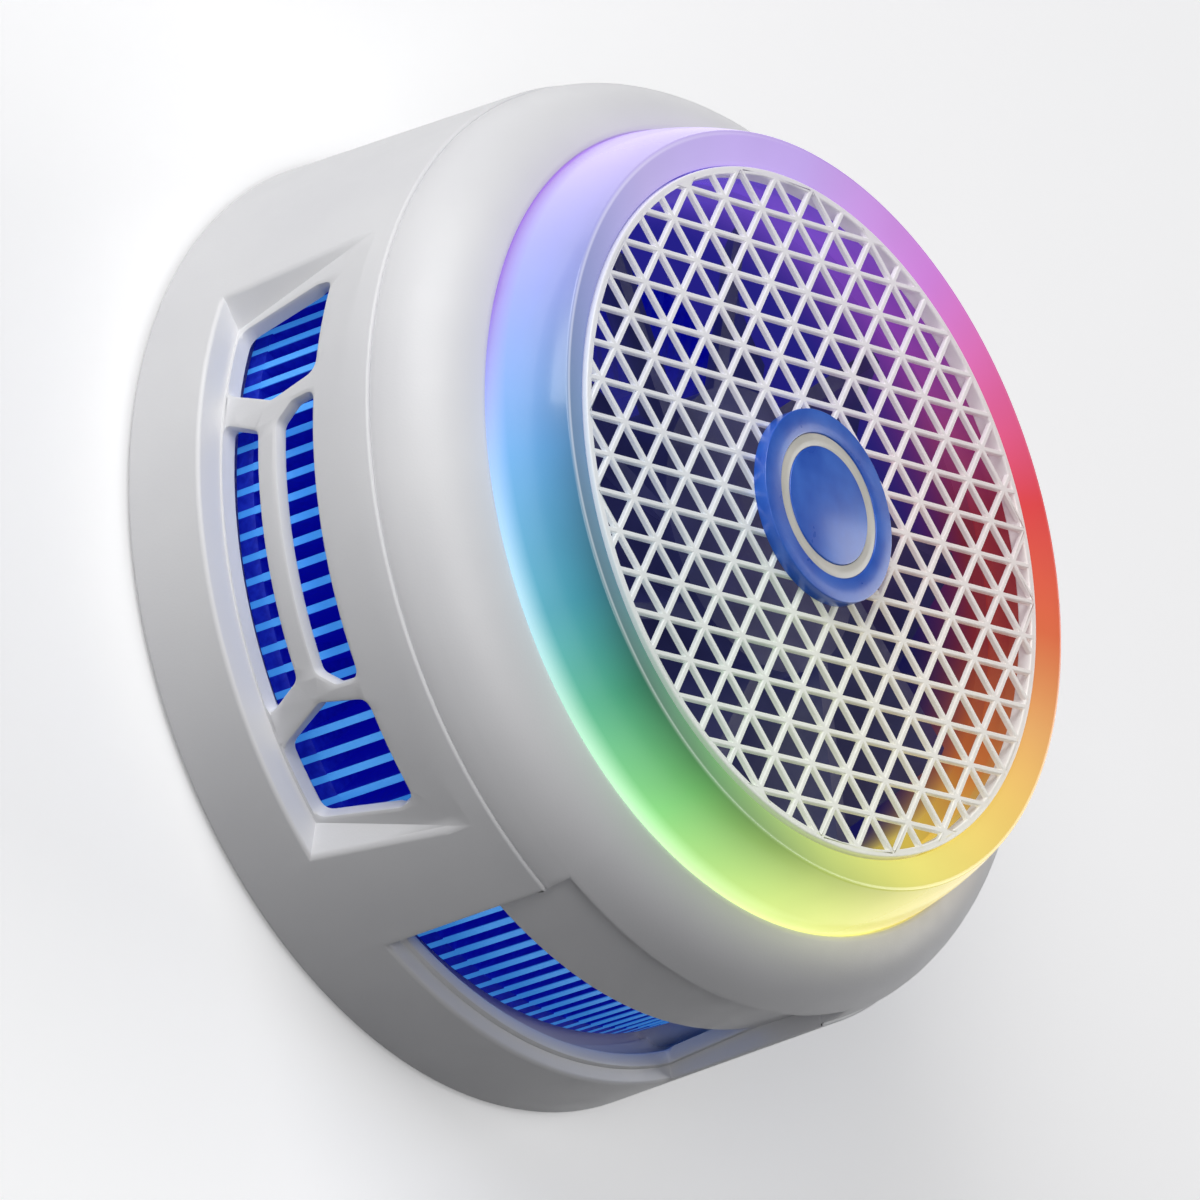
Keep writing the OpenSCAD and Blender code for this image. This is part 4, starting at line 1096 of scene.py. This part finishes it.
print("seam edges:", soften(front, FRONT_SEAM_SOFT, front_seam))
print("soft edges:", soften(front, FRONT_SOFT, notch_or_opening))
roll(front, on_shoulder)
keep_piece(front, "case_front", white_case, "front_shell")

# %% [markdown]
# ## Round pieces
# The light ring, the case floor, the grille's rim and the badge are turned shapes. They
# could start as cylinders, but an outline shows their form at a glance. It is closed, lies
# in the XZ plane and is spun once about the axis, and the last copy is merged with the
# first. Its corners are rounded before it is spun, which is quicker than a bevel on
# hundreds of edges afterwards.

# %% Spin an outline
def spin(outline, steps=192):
    mesh = bmesh.new()
    verts = [mesh.verts.new((r * MM, 0, z * MM)) for r, z in outline]
    edges = [mesh.edges.new(pair) for pair in zip(verts, verts[1:] + verts[:1])]
    bmesh.ops.spin(mesh, geom=verts + edges, cent=(0, 0, 0), axis=(0, 0, 1), angle=math.tau,
                   steps=steps, use_merge=True)
    bmesh.ops.remove_doubles(mesh, verts=mesh.verts, dist=1e-7)
    drop_loose(mesh)
    return mesh


def arc_between(start, end, radius, steps):
    a, b = Vector(start), Vector(end)
    chord = b - a
    across = Vector((chord.y, -chord.x)).normalized()
    centre = (a + b) / 2 - across * math.sqrt(radius ** 2 - (chord.length / 2) ** 2)
    first, last = (math.atan2(*(p - centre).yx) for p in (a, b))
    turns = [first + (last - first) * k / steps for k in range(steps + 1)]
    return [(centre.x + radius * math.cos(t), centre.y + radius * math.sin(t)) for t in turns]


def round_inner(corners, radius, steps):
    """The rounded corners of an open line, without the corners at its two ends."""
    return rounded(corners, radius, steps)[steps + 1:-steps - 1]


print("points in a quarter arc:", len(arc_between((1, 0), (0, 1), 1, 14)))

# %% [markdown]
# ## The light ring
# The ring is a hollow milky wall that stands in the front shell's opening. Its outer side
# bulges a little, its lip is rounded, and a flat ledge slopes from the lip to the grille's
# seat. Its outline is one closed line: up the bulge, over the lip, down the inside, and up
# and down again in the channel for the lamps.

# %% Turn the light ring
RING_FOOT, RING_LIP, RING_IN = (26.94, RING_FOOT_Z), (25.353, RING_TOP), 23.153
BULGE_R, BULGE_STEPS, LIP_SOFT = 18, 14, 0.3
LEDGE = [(25.1, RING_TOP), (RING_IN, 30.4), (RING_IN, 29.0)]
GRILLE_SEAT = [(RING_IN, 29.5), (22.6, 29.5), (22.6, 28.7), (RING_IN, 28.6), (RING_IN, RING_LOW)]
LAMP_CHANNEL = [(23.95, RING_LOW), (23.95, 29.6), (24.7, 30.0), (25.6, 25.6), (26.05, RING_LOW)]
bulge = arc_between(RING_FOOT, RING_LIP, BULGE_R, BULGE_STEPS)
lip = round_inner([bulge[-3], RING_LIP] + LEDGE, LIP_SOFT, 5)
ring_outline = [(RING_FOOT[0], RING_LOW)] + bulge[:-2] + lip + GRILLE_SEAT + LAMP_CHANNEL
keep_piece(spin(ring_outline), "glow_ring", ring_light, "light_ring")

# %% [markdown]
# ## The case floor
# Through the windows one looks past the fins into the case, so its floor is there too: a
# turned ring with a collar around the heat sink, and four posts for the case screws. The
# posts could be joined to the floor with a Boolean, but no one sees where they meet. So
# they are plain cylinders that stand a little way in the floor.

# %% Turn the case floor
FLOOR_IN, FLOOR_Z, COLLAR, COLLAR_Z = 22.2, (3.2, 4.6), (29.086, 31.2), 5.1
POST_R, POST_AT, POST_Z, POST_ANGLES = 1.9, 28.153, (4.5, 18.9), (60, 120, 238, 302)
case_floor = spin([(FLOOR_IN, FLOOR_Z[0]), (COLLAR[1], FLOOR_Z[0]), (COLLAR[1], COLLAR_Z),
                   (COLLAR[0], COLLAR_Z), (COLLAR[0], FLOOR_Z[1]), (FLOOR_IN, FLOOR_Z[1])])
for angle in POST_ANGLES:
    turn = Matrix.Rotation(math.radians(angle), 4, "Z")
    stand = turn @ Matrix.Translation(Vector((POST_AT, 0, sum(POST_Z) / 2)) * MM)
    bmesh.ops.create_cone(case_floor, cap_ends=True, segments=32, radius1=POST_R * MM,
                          radius2=POST_R * MM, depth=(POST_Z[1] - POST_Z[0]) * MM, matrix=stand)
keep_piece(case_floor, "case_floor", white_case, "body_shell")

# %% [markdown]
# ## The lattice
# The grille is a net of flat triangles, moulded in one with its rim. Each hole could be
# cut on its own, but a grid has them all at once: with its rows slid sideways by a shear,
# and each face split along its short diagonal, it becomes triangles. Insetting every
# triangle by half a rib leaves the ribs, and the inner faces go. Cells under the middle
# of the badge and slivers at the rim stay shut.

# %% Inset the lattice
BASE, ROW, RIB, COLUMNS, ROWS = 3.82, 2.52, 0.35, 20, 12
RIM_R, SEAT_R, SLIVER = (reach("grille") - 0.5, reach("grille")), 5.0, 0.4
inradius = BASE * ROW / (BASE + 2 * math.hypot(BASE / 2, ROW))

net = bmesh.new()
bmesh.ops.create_grid(net, x_segments=2 * COLUMNS, y_segments=2 * ROWS, size=1)
shear = Matrix((
    (COLUMNS * BASE, ROWS * BASE / 2, 0, BASE / 2),
    (0, ROWS * ROW, 0, 0),
    (0, 0, 1, 0),
    (0, 0, 0, 1),
))
bmesh.ops.transform(net, verts=net.verts, matrix=shear)
bmesh.ops.triangulate(net, faces=net.faces[:], quad_method="SHORT_EDGE")
outside = [f for f in net.faces if min(v.co.length for v in f.verts) > RIM_R[0] + 0.2]
bmesh.ops.delete(net, geom=outside, context="FACES")


def is_cell(face):
    sides = [loop.edge.calc_length() for loop in face.loops]
    weights = sides[1:] + sides[:1]
    centre = sum((l.vert.co * w for l, w in zip(face.loops, weights)), Vector()) / sum(sides)
    nearest = min((centre + (v.co - centre) * (1 - RIB / 2 / inradius)).length for v in face.verts)
    return centre.length > SEAT_R and nearest < RIM_R[0] - SLIVER


cells = [f for f in net.faces if is_cell(f)]
bmesh.ops.inset_individual(net, faces=cells, thickness=RIB / 2, use_even_offset=True)
bmesh.ops.delete(net, geom=cells, context="FACES_ONLY")
drop_loose(net)
print("cells:", len(cells))

# %% [markdown]
# ## The grille's plate and rim
# The net still has a ragged outline. A disc could be kept with a Boolean, but planes that
# touch a circle all the way round trim it with clean cuts. Then the flat net is extruded
# into a thin plate, turned to the angle at which it sits, and a spun rim closes it.

# %% Trim the lattice and give it its rim
NET_T, NET_TURN, TRIM_PLANES, NET_REACH = 0.35, 10.7, 120, RIM_R[0] + 0.25
NET_SOFT, GRILLE_RIM_SOFT = 0.06, 0.12
RIM_REAR_Z, FACE_Z = heights("grille")

for i in range(TRIM_PLANES):
    turn = math.tau * i / TRIM_PLANES
    outwards = Vector((math.cos(turn), math.sin(turn), 0))
    bmesh.ops.bisect_plane(net, geom=net.verts[:] + net.edges[:] + net.faces[:], dist=1e-6,
                           plane_co=outwards * NET_REACH, plane_no=outwards, clear_outer=True)
raised = verts_of(bmesh.ops.extrude_face_region(net, geom=net.faces[:])["geom"])
bmesh.ops.translate(net, verts=raised, vec=(0, 0, NET_T))
face_outwards(net)
print("soft edges:", soften(net, NET_SOFT, lambda middle: middle.z > NET_T - 0.01, 1))
lift = Matrix.Translation((0, 0, FACE_Z - NET_T))
net_turn = Matrix.Rotation(math.radians(NET_TURN), 4, "Z")
bmesh.ops.transform(net, verts=net.verts, matrix=Matrix.Scale(MM, 4) @ lift @ net_turn)
keep_piece(net, "grille_net", white_lattice_painted_light, "grille", smooth=20)

rim_corners = [(RIM_R[0], RIM_REAR_Z), (RIM_R[1], RIM_REAR_Z), (RIM_R[1], FACE_Z), (RIM_R[0], FACE_Z)]
grille_rim = spin(rounded(rim_corners, GRILLE_RIM_SOFT, 3))
keep_piece(grille_rim, "grille_rim", white_lattice_painted_light, "grille")

# %% [markdown]
# ## The badge
# A plain round badge stands in the middle of the grille: a low blue disc with a pale
# ring let into its face, both under clear lacquer. One mesh with two colours could do,
# but as two pieces each keeps a clean edge. The disc's outline starts and ends on the
# axis, where nothing is rounded, so that the spin closes it with two points.

# %% Mix the badge's lacquer
def lacquer(name, light, dark, rough):
    finish = Finish(name, Coat_Weight=0.5, Coat_Roughness=0.15)
    flow = finish.noise(2.5)
    finish.give(Base_Color=finish.tint(flow, light, dark))
    finish.give(Roughness=finish.spread(flow, rough - 0.05, rough + 0.05))
    finish.bump(finish.noise(0.4, detail=1), 0.0015)
    return finish.material


badge_blue = lacquer("badge blue", (62, 118, 222), (44, 92, 200), 0.32)
badge_pale = lacquer("badge pale", (226, 222, 212), (210, 207, 198), 0.4)
print("badge finishes:", badge_blue.name, "and", badge_pale.name)

# %% Turn the badge
BADGE_R, BADGE_TOP, GROOVE, GROOVE_DEPTH = reach("badge"), heights("badge")[1], (3.97, 4.87), 0.2
INLAY, INLAY_Z = (GROOVE[0] + 0.02, GROOVE[1] - 0.02), (BADGE_TOP - 0.19, BADGE_TOP - 0.06)
BADGE_SOFT, INLAY_SOFT, BADGE_STEPS = 0.08, 0.05, 128
groove_z = BADGE_TOP - GROOVE_DEPTH
disc_line = [(0.0, FACE_Z), (BADGE_R, FACE_Z), (BADGE_R, BADGE_TOP), (GROOVE[1], BADGE_TOP),
             (GROOVE[1], groove_z), (GROOVE[0], groove_z), (GROOVE[0], BADGE_TOP), (0.0, BADGE_TOP)]
disc = disc_line[:1] + round_inner(disc_line, BADGE_SOFT, 3) + disc_line[-1:]
keep_piece(spin(disc, BADGE_STEPS), "badge_disc", badge_blue, "badge")
inlay = rounded([(INLAY[0], INLAY_Z[0]), (INLAY[1], INLAY_Z[0]), (INLAY[1], INLAY_Z[1]),
                 (INLAY[0], INLAY_Z[1])], INLAY_SOFT, 2)
keep_piece(spin(inlay, BADGE_STEPS), "badge_inlay", badge_pale, "badge")

# %% [markdown]
